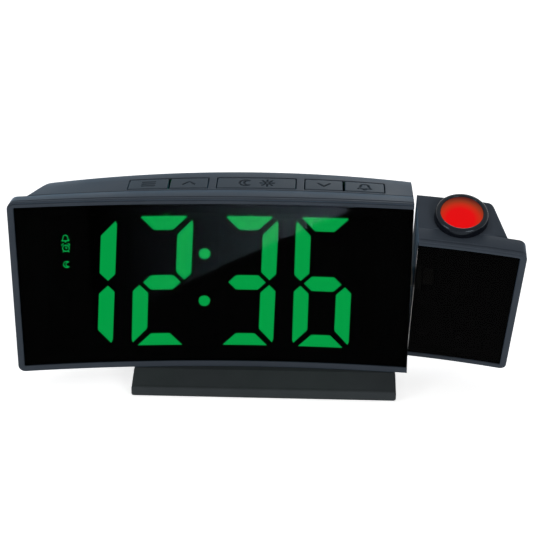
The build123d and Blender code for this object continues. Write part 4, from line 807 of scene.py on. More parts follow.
def body_openings(softness):
    """Openings of the body: for the buttons on top, and for screws, cell, sockets and sound."""
    back = screw_wells([(x, z) for x in BODY_SCREWS_X for z in SCREWS_Z], softness)
    cup = round_outline(CELL_PLACE, CUP_RADIUS, HOLE_MARGIN)
    seat = node_box("cell_cover")[0][1]
    floor = node_box("cell_contact")[0][1]
    step = CELL_POCKET_RADIUS - CUP_RADIUS
    back.append(well(cup, softness, (0.0, seat), (step, seat), (step, floor)))
    holes = [round_outline((POWER_X, SOCKET_Z), POWER_RADIUS, HOLE_MARGIN)]
    holes.append(Outline((CHARGING_X, SOCKET_Z), CHARGING_HALF, CHARGING_CORNER, HOLE_MARGIN))
    for rise in SLOT_RISES:
        holes.append(Outline((BUZZER_X, BUZZER_Z + rise), SLOT_HALF, SLOT_HALF[1], SLOT_MARGIN))
    back += [through(hole, softness) for hole in holes]
    top = []
    front, rear = BUTTON_DEPTHS[0] - BUTTON_FRONT_GAP, BUTTON_DEPTHS[1] + BUTTON_REAR_GAPS[1]
    for first, last in BUTTON_ROWS:
        low = node_box(first)[0][0] - BUTTON_CLEARANCE
        high = node_box(last)[1][0] + BUTTON_CLEARANCE
        centre = ((low + high) / 2, (front + rear) / 2)
        half = ((high - low) / 2, (rear - front) / 2)
        top.append(through(Outline(centre, half, BUTTON_CORNER, ROW_MARGIN), softness))
    return {"back": back, "top": top}


class ALARMCLOCK_OT_shells(bpy.types.Operator):
    """Make the two rear shells with all their openings"""

    bl_idname = "alarm_clock.shells"
    bl_label = "Rear shells"

    def execute(self, context):
        sizes = context.scene.clock_sizes
        softness = sizes.soft_edge * MM
        openings = body_openings(softness)
        form = ShellForm(-1, SPLIT_X, body_top, sizes.shell_edge * MM, openings)
        make_piece(
            "body_shell",
            shell_patches(form, openings),
            "case_plastic",
            "clock_body",
            "rear_shell",
            wall=SHELL_WALL,
        )
        left, right = MODULE_SCREWS_X
        places = [(left, SCREWS_Z[1]), (left, SCREWS_Z[0]), (right, SCREWS_Z[0])]
        openings = {"back": screw_wells(places, softness), "top": []}
        form = ShellForm(1, MODULE_X, module_top, sizes.module_edge * MM, openings)
        make_piece(
            "module_shell",
            shell_patches(form, openings),
            "case_plastic",
            "projector_module",
            "projector_shell",
            wall=SHELL_WALL,
            tilt=True,
        )
        return {"FINISHED"}


# ---- Front frames and windows -------------------------------------------------------------------
FRAME_CORNER, LEAST_CORNER = 3.0, 0.3
CORNER_POINTS, RUN_POINTS, SIDE_POINTS = 8, 72, 24  # of a frame's line, both ends counted
TOP_BLEND = 2.4  # height in which the top's own form fades out
TRIM_DEPTH = 0.7
TOP_TRIM, TOP_TRIM_HALF = 1.6, 0.45  # groove on the top: its depth and half its width
LIP_TRIM, LIP_TRIM_HALF = 0.85, 0.28  # groove on the lip: its inset and half its width
LEDGE_CORNER, LEDGE_EDGE, LEDGE_STEPS = 0.3, 0.1, (4.0, 8.0)
WINDOW_CORNER, WINDOW_EDGE, WINDOW_STEPS = 0.5, 0.2, (2.0, 6.0)


def panel(outline, steps, place, thickness, edge, relief=None):
    """Plate with softened edges: a face that is fitted to the outline, a wall of rows round it and
    a back. Its cells are no wider than the steps. A relief lowers the face's points."""
    us, vs = (grid_lines(outline.stops(axis), steps[axis]) for axis in (0, 1))
    grid = outline.fit(mesh_grid(us, vs), -edge)
    border = outline.border(us, vs)
    rows = [(-grow, drop) for grow, drop in quarter(edge)]
    rows += [(-grow, thickness - drop) for grow, drop in quarter(edge)[::-1]]
    wall = np.array([place(outline.fit(border, grow), drop) for grow, drop in rows])
    drop = 0.0 if relief is None else relief(grid)
    return [(place(grid, drop), None), (wall, None), (place(grid, thickness), None)]


def bent_plate(low, high, corner, front, steps, thickness, edge):
    """Plate between two corners of X and Z that follows the screen's arc behind it."""
    low, high = np.array(low), np.array(high)
    outline = Outline((low + high) / 2, (high - low) / 2, corner)

    def place(points, drop):
        return with_y(points, arc_y(points[..., 0], front + drop))

    return panel(outline, steps, place, thickness, edge)


def bent_loop(side, outer_x, open_x, insets, depth):
    """Line that runs round a frame's outer end, from its open end along the top, down the side
    and back along the bottom: three straight runs and two quarter circles, laid on an arc."""
    inset_z, inset_x = insets
    radius = max(FRAME_CORNER - inset_z, LEAST_CORNER)
    centre_x = outer_x - side * (inset_x + radius)
    high, low = TOP_Z - inset_z, BOTTOM_Z + inset_z
    angles = np.linspace(0, math.pi / 2, CORNER_POINTS)
    across, up = radius * np.sin(angles), radius * np.cos(angles)
    run = np.linspace(open_x, centre_x, RUN_POINTS)[:-1]
    rise = np.linspace(high - radius, low + radius, SIDE_POINTS)[1:-1]
    x = [
        run,
        centre_x + side * across,
        np.full(len(rise), centre_x + side * radius),
        centre_x + side * up,
        run[::-1],
    ]
    z = [
        np.full(len(run), high),
        high - radius + up,
        rise,
        low + radius - across,
        np.full(len(run), low),
    ]
    line = np.stack([np.concatenate(x), np.concatenate(z)], axis=-1)
    return with_y(line, arc_y(line[:, 0], depth))


def frame_rows(side_ledge, trim):
    """Section of a front frame as rows of (inset, depth): a rounded outer edge, a flat lip, the
    window's seat and a ledge behind it. Two fine grooves, cut trim deep, lie on either side of
    the front edge."""
    sizes = bpy.context.scene.clock_sizes
    round_edge, soft = sizes.frame_edge * MM, sizes.soft_edge * MM
    rows = [((LEDGE, side_ledge), FRAME_DEPTH), ((soft, soft), FRAME_DEPTH)]
    rows += [((grow, grow), FRAME_DEPTH - drop) for grow, drop in quarter(soft, steps=2)[1:]]
    for offset, cut in ((TOP_TRIM_HALF, 0.0), (0.0, trim), (-TOP_TRIM_HALF, 0.0)):
        rows.append(((cut, cut), TOP_TRIM + offset))
    rows += [((grow, grow), drop) for grow, drop in quarter(round_edge, steps=6)[::-1]]
    for offset, cut in ((-LIP_TRIM_HALF, 0.0), (0.0, trim), (LIP_TRIM_HALF, 0.0)):
        rows.append(((LIP_TRIM + offset, LIP_TRIM + offset), cut))
    rows += [((LIP - grow, SIDE_LIP - grow), drop) for grow, drop in quarter(soft, steps=3)]
    rows += [((LIP, SIDE_LIP), WINDOW_SEAT), ((LEDGE, side_ledge), WINDOW_SEAT)]
    rows.append(rows[0])
    return rows


def frame_piece(name, side, outer_x, open_x, side_ledge, body, replaced, ledge, top, tilt=False):
    """Front frame: its section is carried round the window. Along the top, and fading out in the
    corner, it has its grooves, and rises evenly from the front to meet the shell's top."""
    plain, grooved = (
        np.array([bent_loop(side, outer_x, open_x, *row) for row in frame_rows(side_ledge, trim)])
        for trim in (0.0, TRIM_DEPTH)
    )
    share = np.clip((plain[..., 2] - TOP_Z + TOP_BLEND) / TOP_BLEND, 0, 1)
    section = plain + (grooved - plain) * share[..., None]
    depth = depth_at(section[..., 0], section[..., 1])
    rise = np.maximum(top(section[..., 0], FRAME_DEPTH) - TOP_Z, 0)
    section[..., 2] += rise * share * depth / FRAME_DEPTH
    ends = [section[:-1, 0], section[:-1, -1]]
    patches = [(section, None), *ledge]
    make_piece(name, patches, "case_plastic", body, replaced, polygons=ends, tilt=tilt)


class ALARMCLOCK_OT_frames(bpy.types.Operator):
    """Make the two front frames round the windows"""

    bl_idname = "alarm_clock.frames"
    bl_label = "Front frames"

    def execute(self, context):
        ledge = bent_plate(
            (SPLIT_X - RIGHT_LEDGE, BOTTOM_Z + LEDGE),
            (SPLIT_X, TOP_Z - LEDGE),
            LEDGE_CORNER,
            WINDOW_SEAT,
            LEDGE_STEPS,
            LEDGE_DEPTH,
            LEDGE_EDGE,
        )
        frame_piece(
            "body_frame",
            -1,
            LEFT_X,
            SPLIT_X,
            LEFT_LEDGE,
            "clock_body",
            "front_frame",
            ledge,
            body_top,
        )
        frame_piece(
            "module_frame",
            1,
            RIGHT_X,
            MODULE_X,
            MODULE_LEDGE,
            "projector_module",
            "projector_frame",
            [],
            module_top,
            tilt=True,
        )
        return {"FINISHED"}


def window_piece(name, low_x, high_x, body, replaced, tilt=False):
    """Curved window pane with polished edges, in its recess."""
    patches = bent_plate(
        (low_x, BOTTOM_Z + LIP + CLEARANCE),
        (high_x, TOP_Z - LIP - CLEARANCE),
        WINDOW_CORNER,
        WINDOW_RECESS,
        WINDOW_STEPS,
        WINDOW_THICKNESS,
        WINDOW_EDGE,
    )
    make_piece(name, patches, "window_acrylic", body, replaced, tilt=tilt)


class ALARMCLOCK_OT_windows(bpy.types.Operator):
    """Make the two smoked windows"""

    bl_idname = "alarm_clock.windows"
    bl_label = "Windows"

    def execute(self, context):
        reach = SIDE_LIP + CLEARANCE
        window_piece("body_window", LEFT_X + reach, SPLIT_X, "clock_body", "display_window")
        window_piece(
            "module_window",
            MODULE_X,
            RIGHT_X - reach,
            "projector_module",
            "projector_window",
            tilt=True,
        )
        return {"FINISHED"}


# ---- Marks, buttons and display -----------------------------------------------------------------
def arc_stroke(centre, radius, start, end, count=12):
    """Points on a circle, angles in degrees."""
    angles = np.radians(np.linspace(start, end, count))
    return np.array(centre) + radius * np.stack([np.cos(angles), np.sin(angles)], axis=-1)


def bell_mark(size):
    """A bell: a dome with flared sides, a base line and a clapper."""
    side = np.array([(0.42, -0.3), (0.3, -0.16)])
    dome = arc_stroke((0, 0.12), 0.26, 0, 180)
    bell = np.concatenate([side, dome, side[::-1] * (-1, 1)])
    base = np.array([(-0.42, -0.3), (0.42, -0.3)])
    clapper = np.array([(-0.08, -0.44), (0.08, -0.44)])
    return [stroke * size for stroke in (bell, base, clapper)]


def clock_mark(size):
    """A twin-bell alarm clock: dial, hands, bells and feet."""
    dial = arc_stroke((0, 0), 0.33, 90, 450, 25)
    hands = np.array([(0.0, 0.17), (0.0, 0.0), (0.13, 0.0)])
    bell = arc_stroke((0.25, 0.33), 0.14, -20, 110, 7)
    foot = np.array([(0.21, -0.27), (0.31, -0.42)])
    return [stroke * size for stroke in (dial, hands, bell, bell * (-1, 1), foot, foot * (-1, 1))]


def crescent_mark(size):
    """A crescent moon: two arcs that meet in their tips."""
    outer = arc_stroke((0, 0), 0.42, 50, 310, 20)
    tip, far = outer[0], outer[-1]
    inner_centre = np.array([0.22, 0.0])
    radius = np.linalg.norm(tip - inner_centre)
    opening = math.degrees(math.atan2(tip[1], tip[0] - inner_centre[0]))
    inner = arc_stroke(inner_centre, radius, opening, 360 - opening, 16)
    inner[-1] = far
    return [outer * size, inner * size]


def lamp_mark(size):
    """A small lamp: a disc's outline with eight rays."""
    rays = []
    for angle in np.arange(8) * math.pi / 4:
        way = np.array([math.cos(angle), math.sin(angle)])
        rays.append(np.array([way * 0.3, way * 0.45]) * size)
    return [arc_stroke((0, 0), 0.16, 0, 360, 13) * size, *rays]


def bars_mark(size):
    """Three level bars, as for a menu."""
    return [np.array([(-0.42, z), (0.42, z)]) * size for z in (0.3, 0.0, -0.3)]


def chevron_mark(size, way):
    """An arrow head that points up or down."""
    return [np.array([(-0.4, -0.2 * way), (0.0, 0.22 * way), (0.4, -0.2 * way)]) * size]


def moved(strokes, x):
    """Strokes that are moved along X."""
    return [stroke + np.array([x, 0.0]) for stroke in strokes]


MARK_SIZE, WIDE_MARK_SIZE = 6.0, 6.4
PAIR_OFFSET = 4.5  # of the two marks on the wide button, from its middle


def button_marks():
    """Strokes of each button's mark about the middle of its cap."""
    moon = moved(crescent_mark(MARK_SIZE), -PAIR_OFFSET)
    return {
        "mode_button": bars_mark(MARK_SIZE),
        "up_button": chevron_mark(MARK_SIZE, 1),
        "snooze_button": moon + moved(lamp_mark(WIDE_MARK_SIZE), PAIR_OFFSET),
        "down_button": chevron_mark(MARK_SIZE, -1),
        "alarm_button": bell_mark(WIDE_MARK_SIZE),
    }


def stroke_distance(points, strokes):
    """Distance from each point to the nearest stroke: its foot on each span is held between the
    span's ends."""
    nearest = np.full(points.shape[:-1], np.inf)
    for stroke in strokes:
        for start, end in zip(stroke[:-1], stroke[1:]):
            span = end - start
            share = np.clip(((points - start) @ span) / (span @ span), 0, 1)
            foot = start + share[..., None] * span
            nearest = np.minimum(nearest, np.linalg.norm(points - foot, axis=-1))
    return nearest


def engraved(points, strokes, half_width, deep, slope):
    """Depth of an engraving at each point: full along the strokes, and falling off across a
    slope that lies half within their width."""
    away = stroke_distance(points, strokes) - half_width
    return deep * np.clip(0.5 - away / slope, 0, 1)


BUTTON_SKIRT = 3.2
BUTTON_SIDE_GAP = 0.12  # taken from each side of a button
BUTTON_STEPS = (0.15, 0.15)
BUTTON_SMOOTH = 60  # degrees
STROKE_SLOPE = 0.6  # of half the width of a mark


class ALARMCLOCK_OT_buttons(bpy.types.Operator):
    """Make the five buttons, crowned as the top is and engraved"""

    bl_idname = "alarm_clock.buttons"
    bl_label = "Buttons"

    def execute(self, context):
        sizes = context.scene.clock_sizes
        proud, soft = sizes.button_proud * MM, sizes.button_edge * MM
        deep, half_width = sizes.engraving * MM, sizes.stroke * MM / 2
        marks = button_marks()

        def place(points, drop):
            return on_top(points, body_top, drop - proud)

        for name in BUTTONS:
            low, high = node_box(name)
            front, rear = BUTTON_DEPTHS[0], BUTTON_DEPTHS[1] - BUTTON_REAR_GAPS[0]
            centre = np.array([(low[0] + high[0]) / 2, (front + rear) / 2])
            half = ((high[0] - low[0]) / 2 - BUTTON_SIDE_GAP, (rear - front) / 2)
            outline = Outline(centre, half, BUTTON_CORNER)

            def relief(points, strokes=marks[name], centre=centre):
                slope = STROKE_SLOPE * half_width
                return engraved(points - centre, strokes, half_width, deep, slope)

            patches = panel(outline, BUTTON_STEPS, place, BUTTON_SKIRT, soft, relief)
            make_piece(
                name + "_cap", patches, "button_plastic", name, name, smooth=BUTTON_SMOOTH
            )
        return {"FINISHED"}


MARK_WIDTH = 0.25
DIFFUSER = 0.6  # thickness of the lit layer
# each mark, its size and how far it stands over the middle of the display
LIT_MARKS = ((bell_mark, 3.6, 20.6), (clock_mark, 4.1, 16.2), (crescent_mark, 3.2, 9.0))


def ribbon(stroke, centre):
    """Bar along a stroke in the layer of the diffusers: its sides lie half a width away, square to
    the mean direction of its spans."""
    steps = np.diff(stroke, axis=0)
    steps = steps / np.linalg.norm(steps, axis=1, keepdims=True)
    closed = np.allclose(stroke[0], stroke[-1])
    first, last = (steps[-1:], steps[:1]) if closed else (steps[:1], steps[-1:])
    mean = (np.concatenate([first, steps]) + np.concatenate([steps, last])) / 2
    across = np.stack([-mean[:, 1], mean[:, 0]], axis=-1)
    across *= MARK_WIDTH / 2 / np.linalg.norm(across, axis=1, keepdims=True) ** 2
    rows = []
    for sign, depth in ((1, DIFFUSER), (1, 0.0), (-1, 0.0), (-1, DIFFUSER), (1, DIFFUSER)):
        points = centre + stroke + sign * across
        rows.append(with_y(points, arc_y(points[:, 0], WINDOW_SEAT + depth)))
    section = np.array(rows)
    return (section, None), [] if closed else [section[:-1, 0], section[:-1, -1]]


class ALARMCLOCK_OT_display(bpy.types.Operator):
    """Make the small lit marks beside the digits"""

    bl_idname = "alarm_clock.display"
    bl_label = "Display marks"

    def execute(self, context):
        low, high = node_box("indicator_icons")
        middle_x = (low[0] + high[0]) / 2
        patches, ends = [], []
        for mark, size, rise in LIT_MARKS:
            for stroke in mark(size):
                patch, caps = ribbon(stroke, np.array([middle_x, MIDDLE_Z + rise]))
                patches.append(patch)
                ends += caps
        make_piece(
            "lit_marks",
            patches,
            "lit_diffuser",
            "clock_body",
            "indicator_icons",
            polygons=ends,
        )
        return {"FINISHED"}


# ---- Projection lens ----------------------------------------------------------------------------
RING_TOP = 88.5
RING_FOOT = 84.8
RING_RADIUS, RING_BORE = 10.4, 8.5
RING_FLOOR = 0.8
RING_BASE_RADIUS = 10.9
NECK_RADIUS, NECK_BORE, NECK_LENGTH = 5.5, 4.5, 12.0
RING_ROUNDINGS = (0.15, 0.15, 0.15, 0.2, 1.2, 0.4, 0.1, 0.1)
LENS_RADIUS, LENS_THICKNESS, LENS_CROWN, LENS_EDGE = 8.4, 2.6, 0.3, 0.2
DOME_POINTS = 12


def optical_axis():
    """Plan place of the lens's axis in the upright module."""
    x, y, z = np.array(joint_named("focus_turn")["pos_m"]) * MM
    return x, HINGE[1] + (y - HINGE[1]) * math.cos(TILT) + (z - HINGE[2]) * math.sin(TILT)


def lens_middle():
    """Middle of the lens's face in the tilted module."""
    return tilted(np.array([*optical_axis(), RING_FOOT + RING_FLOOR + LENS_THICKNESS]))


class ALARMCLOCK_OT_lens(bpy.types.Operator):
    """Make the focus ring and the domed lens in it"""

    bl_idname = "alarm_clock.lens"
    bl_label = "Lens and ring"

    def execute(self, context):
        centre = optical_axis()
        floor_z = RING_FOOT + RING_FLOOR
        corners = [
            (NECK_BORE, RING_FOOT - NECK_LENGTH),
            (NECK_RADIUS, RING_FOOT - NECK_LENGTH),
            (NECK_RADIUS, RING_FOOT),
            (RING_BASE_RADIUS, RING_FOOT),
            (RING_RADIUS, RING_TOP),
            (RING_BORE, RING_TOP),
            (RING_BORE, floor_z),
            (NECK_BORE, floor_z),
        ]
        section = rounded(corners, RING_ROUNDINGS)
        section = np.concatenate([section, section[:1]])
        ring = [(turned(section, centre), None)]
        make_piece("focus_ring_body", ring, "ring_plastic", "focus_ring", "lens_ring", tilt=True)
        share = np.linspace(1, 0, DOME_POINTS)
        dome_z = floor_z + LENS_THICKNESS + LENS_CROWN * (1 - share**2)
        section = [
            (0.0, floor_z),
            (LENS_RADIUS - LENS_EDGE, floor_z),
            (LENS_RADIUS, floor_z + LENS_EDGE),
            *zip(LENS_RADIUS * share, dome_z),
        ]
        lens = [(turned(section, centre), None)]
        make_piece("lens_dome", lens, "red_lens", "focus_ring", "projection_lens", tilt=True)
        return {"FINISHED"}


# ---- Foot ---------------------------------------------------------------------------------------
FOOT_HALF = node_box("stand_foot")[1][0]  # half of its width
FOOT_SECTION = (  # depth and height of its corners, from the lower rear one by the front
    (33.2, 0.3),
    (-13.9, 0.3),
    (-13.4, 4.4),
    (-11.8, 4.8),
    (-3.2, 8.5),
    (24.2, 8.5),
    (33.2, 5.0),
)
FOOT_BOTTOM = FOOT_SECTION[0][1]
FOOT_EDGE, LEAST_EDGE = 1.2, 0.1
FOOT_END = 1.0
FOOT_STEP = 2.5
FOOT_HOLLOW, HOLLOW_CORNER = ((0.0, 10.1), (42.25, 19.1)), 1.0
FOOT_SEAT = 4.2
PADS = [(x, depth) for x in (-48.5, 48.5) for depth in (-5.3, 26.7)]
PAD_RADIUS, PAD_HEIGHT, PAD_SEGMENTS = 4.0, 1.4, 48
PAD_ROUNDINGS = (0.4, 0.2)  # of its lower and upper edge


def foot_section(inset, across):
    """Closed outline of the foot, moved in by inset: each corner goes along the sum of its two
    sides' normals. Its bottom side holds points at the places across."""
    corners = np.array(FOOT_SECTION)
    ahead = np.roll(corners, -1, 0) - corners
    ahead /= np.linalg.norm(ahead, axis=1, keepdims=True)
    normals = np.stack([ahead[:, 1], -ahead[:, 0]], axis=-1)
    before = np.roll(normals, 1, 0)
    share = 1 + np.sum(before * normals, axis=1, keepdims=True)
    corners = corners + (before + normals) * inset / share
    outline = rounded(corners, [max(FOOT_EDGE - inset, LEAST_EDGE)] * len(corners))
    bottom = np.stack([across, np.full(len(across), corners[0, 1])], axis=-1)
    rear, front = outline[: ARC_STEPS + 1], outline[ARC_STEPS + 1 :]
    return np.concatenate([rear, bottom, front, outline[:1]])


def with_x(points, x):
    """Section of (depth, z) set at x."""
    return np.stack([np.full(len(points), x), FRONT_Y + points[:, 0], points[:, 1]], axis=-1)


def pad_section():
    """Half section of a pad, from its axis round and back to it."""
    corners = [(0.0, 0.0), (PAD_RADIUS, 0.0), (PAD_RADIUS, PAD_HEIGHT), (0.0, PAD_HEIGHT)]
    rim = rounded(corners, (TINY, *PAD_ROUNDINGS, TINY))[ARC_STEPS + 1 : -ARC_STEPS - 1]
    return np.concatenate([corners[:1], rim, corners[-1:]])


class ALARMCLOCK_OT_foot(bpy.types.Operator):
    """Make the foot with its hollow underside, and its four pads"""

    bl_idname = "alarm_clock.foot"
    bl_label = "Foot and pads"

    def execute(self, context):
        softness = context.scene.clock_sizes.soft_edge * MM
        hollow = Outline(*FOOT_HOLLOW, HOLLOW_CORNER, HOLE_MARGIN)
        openings = [well(hollow, softness, (0.0, FOOT_SEAT))]
        for place in PADS:
            pocket = round_outline(place, PAD_RADIUS + CLEARANCE, HOLE_MARGIN)
            openings.append(well(pocket, softness, (0.0, PAD_HEIGHT)))
        end_x = FOOT_HALF - FOOT_END
        us = grid_lines(stops_of(openings, 0, -end_x, end_x), FOOT_STEP)
        outline = foot_section(0.0, [])
        front, rear = outline[ARC_STEPS + 1, 0], outline[ARC_STEPS, 0]
        vs = grid_lines(stops_of(openings, 1, front, rear), FOOT_STEP)
        edge = quarter(FOOT_END)
        rows = [(drop - FOOT_HALF, grow) for grow, drop in edge]
        rows += [(x, 0.0) for x in us[1:-1]]
        rows += [(FOOT_HALF - drop, grow) for grow, drop in edge[::-1]]
        sections = np.array([with_x(foot_section(grow, vs[-2:0:-1]), x) for x, grow in rows])
        cells = np.ones((sections.shape[0] - 1, sections.shape[1] - 1), bool)
        first = len(edge) - 1
        cells[first : first + len(us) - 1, ARC_STEPS : ARC_STEPS + len(vs) - 1] = False

        def place(points, drop, level=None):
            z = FOOT_BOTTOM + drop if level is None else level
            return with_z(points + (0.0, FRONT_Y), z)

        patches = opened(us, vs, place, openings) + [(sections, cells)]
        ends = [sections[0, :-1], sections[-1, :-1]]
        make_piece("foot", patches, "foot_plastic", "clock_body", "stand_foot", polygons=ends)
        section = pad_section()
        patches = [
            (turned(section, (x, FRONT_Y + depth), PAD_SEGMENTS), None) for x, depth in PADS
        ]
        make_piece("pads", patches, "foot_rubber", "clock_body", "foot_pads")
        return {"FINISHED"}


# ---- Back ---------------------------------------------------------------------------------------
COIN_SLOT = np.array([(-5.6, 0.0), (5.6, 0.0)])
COIN_SLOT_WIDTH, COIN_SLOT_DEPTH, COIN_SLOT_SLOPE = 1.8, 1.2, 0.3
COVER_RADIUS = 12.0
COVER_STEPS = (0.26, 0.26)


class ALARMCLOCK_OT_cell_cover(bpy.types.Operator):
    """Make the round cover of the coin cell, with its slot for a coin"""

    bl_idname = "alarm_clock.cell_cover"
    bl_label = "Cell cover"

    def execute(self, context):
        low, high = node_box("cell_cover")
        softness = context.scene.clock_sizes.soft_edge * MM
        outline = round_outline(CELL_PLACE, COVER_RADIUS)

        def place(points, drop):
            return with_y(points, high[1] - drop)

        def relief(points):
            half_width = COIN_SLOT_WIDTH / 2
            points = points - outline.centre
            return engraved(points, [COIN_SLOT], half_width, COIN_SLOT_DEPTH, COIN_SLOT_SLOPE)

        patches = panel(outline, COVER_STEPS, place, high[1] - low[1], softness, relief)
        make_piece("cell_cover_disc", patches, "case_plastic", "cell_cover", "cell_cover")
        return {"FINISHED"}


class ALARMCLOCK_OT_inner_parts(bpy.types.Operator):
    """Give every part that keeps its CAD shape the finish of its slot"""

    bl_idname = "alarm_clock.inner_parts"
    bl_label = "Inner parts"

    def execute(self, context):
        for node in frame["nodes"].values():
            if not node.hide_render:
                slot = node.material_slots[0]
                slot.material = finish_for(slot.material.name)
        return {"FINISHED"}


# ---- Studio -------------------------------------------------------------------------------------
CAMERA_TARGET = (0.775, -7.5, 54.885)
CAMERA_DISTANCE = 553.07
CAMERA_YAW, CAMERA_DIP, CAMERA_ROLL = -2.466, 22.0, 0.103  # degrees
CAMERA_LENS, SENSOR = 90.05, 36.0
CAMERA_CLIP = (0.01, 20.0)  # metres, as are the lamps' and the floor's sizes
LAMP_TARGET = (0.0, 0.0, 0.04)
LAMPS = {  # place and side of each
    "key": ((0.3, 0.95, 0.85), 0.6),
    "left": ((-0.9, -0.65, 0.26), 0.45),
    "right": ((0.55, -1.0, 0.3), 0.45),
}
FLOOR_RADIUS, FLOOR_SEGMENTS = 3.0, 128
FLOOR_LIFT = 0.72
WEDGE_EDGE = ((-45.3, 40.7), (36.8, 81.7))  # lower and upper end of the wedge's edge on the window
WEDGE_START = -72.0
WEDGE_FADE = 1.8
CARD_Z = 3.0
CARD_COLOUR = (0.68, 0.85, 1.0, 1)
CARD_POINTS = (64, 12)


def add_lamp(name, place, size, power):
    """Square soft lamp that faces the clock."""
    data = bpy.data.lights.new(name, "AREA")
    data.size = size
    data.energy = power
    lamp = placed(name, data)
    lamp.location = place
    way = Vector(LAMP_TARGET) - Vector(place)
    lamp.rotation_euler = way.to_track_quat("-Z", "Y").to_euler()


def multiplied(tree, source, factor):
    """Number that is a source's value times a factor."""
    node = tree.nodes.new("ShaderNodeMath")
    node.operation = "MULTIPLY"
    node.inputs[1].default_value = factor
    tree.links.new(source, node.inputs[0])
    return node.outputs[0]


def background_share(tree):
    """1 for rays that show the background, straight or by a mirror or glass, and 0 for others."""
    rays = tree.nodes.new("ShaderNodeLightPath")
    share = rays.outputs["Is Camera Ray"]
    for other in ("Is Glossy Ray", "Is Transmission Ray"):
        either = tree.nodes.new("ShaderNodeMath")
        either.operation = "MAXIMUM"
        tree.links.new(share, either.inputs[0])
        tree.links.new(rays.outputs[other], either.inputs[1])
        share = either.outputs[0]
    return share


def add_sky(light):
    """White where it is seen or mirrored, and an even light of the given strength elsewhere."""
    world = bpy.data.worlds.new("studio_sky")
    bpy.context.scene.world = world
    world.use_nodes = True
    tree = world.node_tree
    background = tree.nodes["Background"]
    background.inputs["Color"].default_value = (1, 1, 1, 1)
    level = tree.nodes.new("ShaderNodeMapRange")
    level.inputs["To Min"].default_value = light
    level.inputs["To Max"].default_value = 1.0
    tree.links.new(background_share(tree), level.inputs["Value"])
    tree.links.new(level.outputs["Result"], background.inputs["Strength"])


def add_floor():
    """Large pale disc under the clock, lifted to white where it is seen, so that only the shadow
    stays."""
    build = bmesh.new()
    bmesh.ops.create_circle(build, cap_ends=True, segments=FLOOR_SEGMENTS, radius=FLOOR_RADIUS)
    mesh = bpy.data.meshes.new("floor")
    build.to_mesh(mesh)
    build.free()
    colour = np.array(bpy.context.scene.clock_colours.floor)
    finish = grained("finish_floor", colour, rough=(0.85, 0.95), spread=0.0)
    tree = finish.node_tree
    shader = tree.nodes["Principled BSDF"]
    shader.inputs["Emission Color"].default_value = (1, 1, 1, 1)
    lift = multiplied(tree, background_share(tree), FLOOR_LIFT)
    tree.links.new(lift, shader.inputs["Emission Strength"])
    mesh.materials.append(finish)
    placed("floor", mesh)


def add_camera():
    """Camera above and in front of the clock, aimed at the middle of the screen."""
    yaw, dip, roll = np.radians((CAMERA_YAW, CAMERA_DIP, CAMERA_ROLL)).tolist()
    ahead = Vector((math.sin(yaw) * math.cos(dip), math.cos(yaw) * math.cos(dip), -math.sin(dip)))
    right = Vector((math.cos(yaw), -math.sin(yaw), 0.0))
    up = right.cross(ahead)
    rolled = math.cos(roll) * right + math.sin(roll) * up
    up = math.cos(roll) * up - math.sin(roll) * right
    place = (Vector(CAMERA_TARGET) - ahead * CAMERA_DISTANCE) / MM
    data = bpy.data.cameras.new("camera")
    data.lens = CAMERA_LENS
    data.sensor_width = SENSOR
    data.clip_start, data.clip_end = CAMERA_CLIP
    camera = placed("camera", data)
    turn = Matrix((rolled, up, -ahead)).transposed().to_4x4()
    camera.matrix_world = Matrix.Translation(place) @ turn
    bpy.context.scene.camera = camera


def card_grid():
    """Points of the card, and how strongly each glows: each is where a sight line, mirrored at
    the window's arc, comes down to the card's height."""
    (low_x, low_z), (high_x, high_z) = WEDGE_EDGE
    across, up = (np.linspace(0, 1, count) for count in CARD_POINTS)
    across, up = np.meshgrid(across, up, indexing="ij")
    x = WEDGE_START + (high_x - WEDGE_START) * across
    edge_z = low_z + (high_z - low_z) * (x - low_x) / (high_x - low_x)
    z = edge_z + (TOP_Z - edge_z) * up
    y = arc_y(x, WINDOW_RECESS)
    points = np.stack([x, y, z], axis=-1)
    normals = np.stack([-x, FRONT_Y - SCREEN_RADIUS - y, np.zeros_like(x)], axis=-1)
    normals /= np.linalg.norm(normals, axis=-1, keepdims=True)
    sight = points - np.array(bpy.context.scene.camera.matrix_world.translation) * MM
    sight -= 2 * np.sum(sight * normals, axis=-1, keepdims=True) * normals
    points += sight * ((CARD_Z - z) / sight[..., 2])[..., None]
    return points, across**WEDGE_FADE


def card_finish(glow):
    """Emission that follows the card's own fade."""
    finish = bpy.data.materials.new("card_glow")
    finish.use_nodes = True
    tree = finish.node_tree
    tree.nodes.clear()
    fade = tree.nodes.new("ShaderNodeAttribute")
    fade.attribute_name = "fade"
    emission = tree.nodes.new("ShaderNodeEmission")
    emission.inputs["Color"].default_value = CARD_COLOUR
    level = multiplied(tree, fade.outputs["Fac"], glow)
    tree.links.new(level, emission.inputs["Strength"])
    output = tree.nodes.new("ShaderNodeOutputMaterial")
    tree.links.new(emission.outputs["Emission"], output.inputs["Surface"])
    return finish


def add_card(glow):
    """Glowing card low in front of the clock, which only the body's window mirrors, as a wedge
    that fades to the left."""
    points, share = card_grid()
    mesh = bpy.data.meshes.new("card")
    vertices = points.reshape(-1, 3) / MM
    mesh.from_pydata(vertices.tolist(), [], grid_quads(points).tolist())
    mesh.attributes.new("fade", "FLOAT", "POINT").data.foreach_set("value", share.ravel())
    mesh.materials.append(card_finish(glow))
    card = placed("card", mesh)
    card.visible_camera = False
    card.visible_diffuse = False
    card.visible_transmission = False
    card.visible_shadow = False
    mirrors = bpy.data.collections.new("mirrors")
    mirrors.objects.link(bpy.data.objects["body_window"])
    card.light_linking.receiver_collection = mirrors


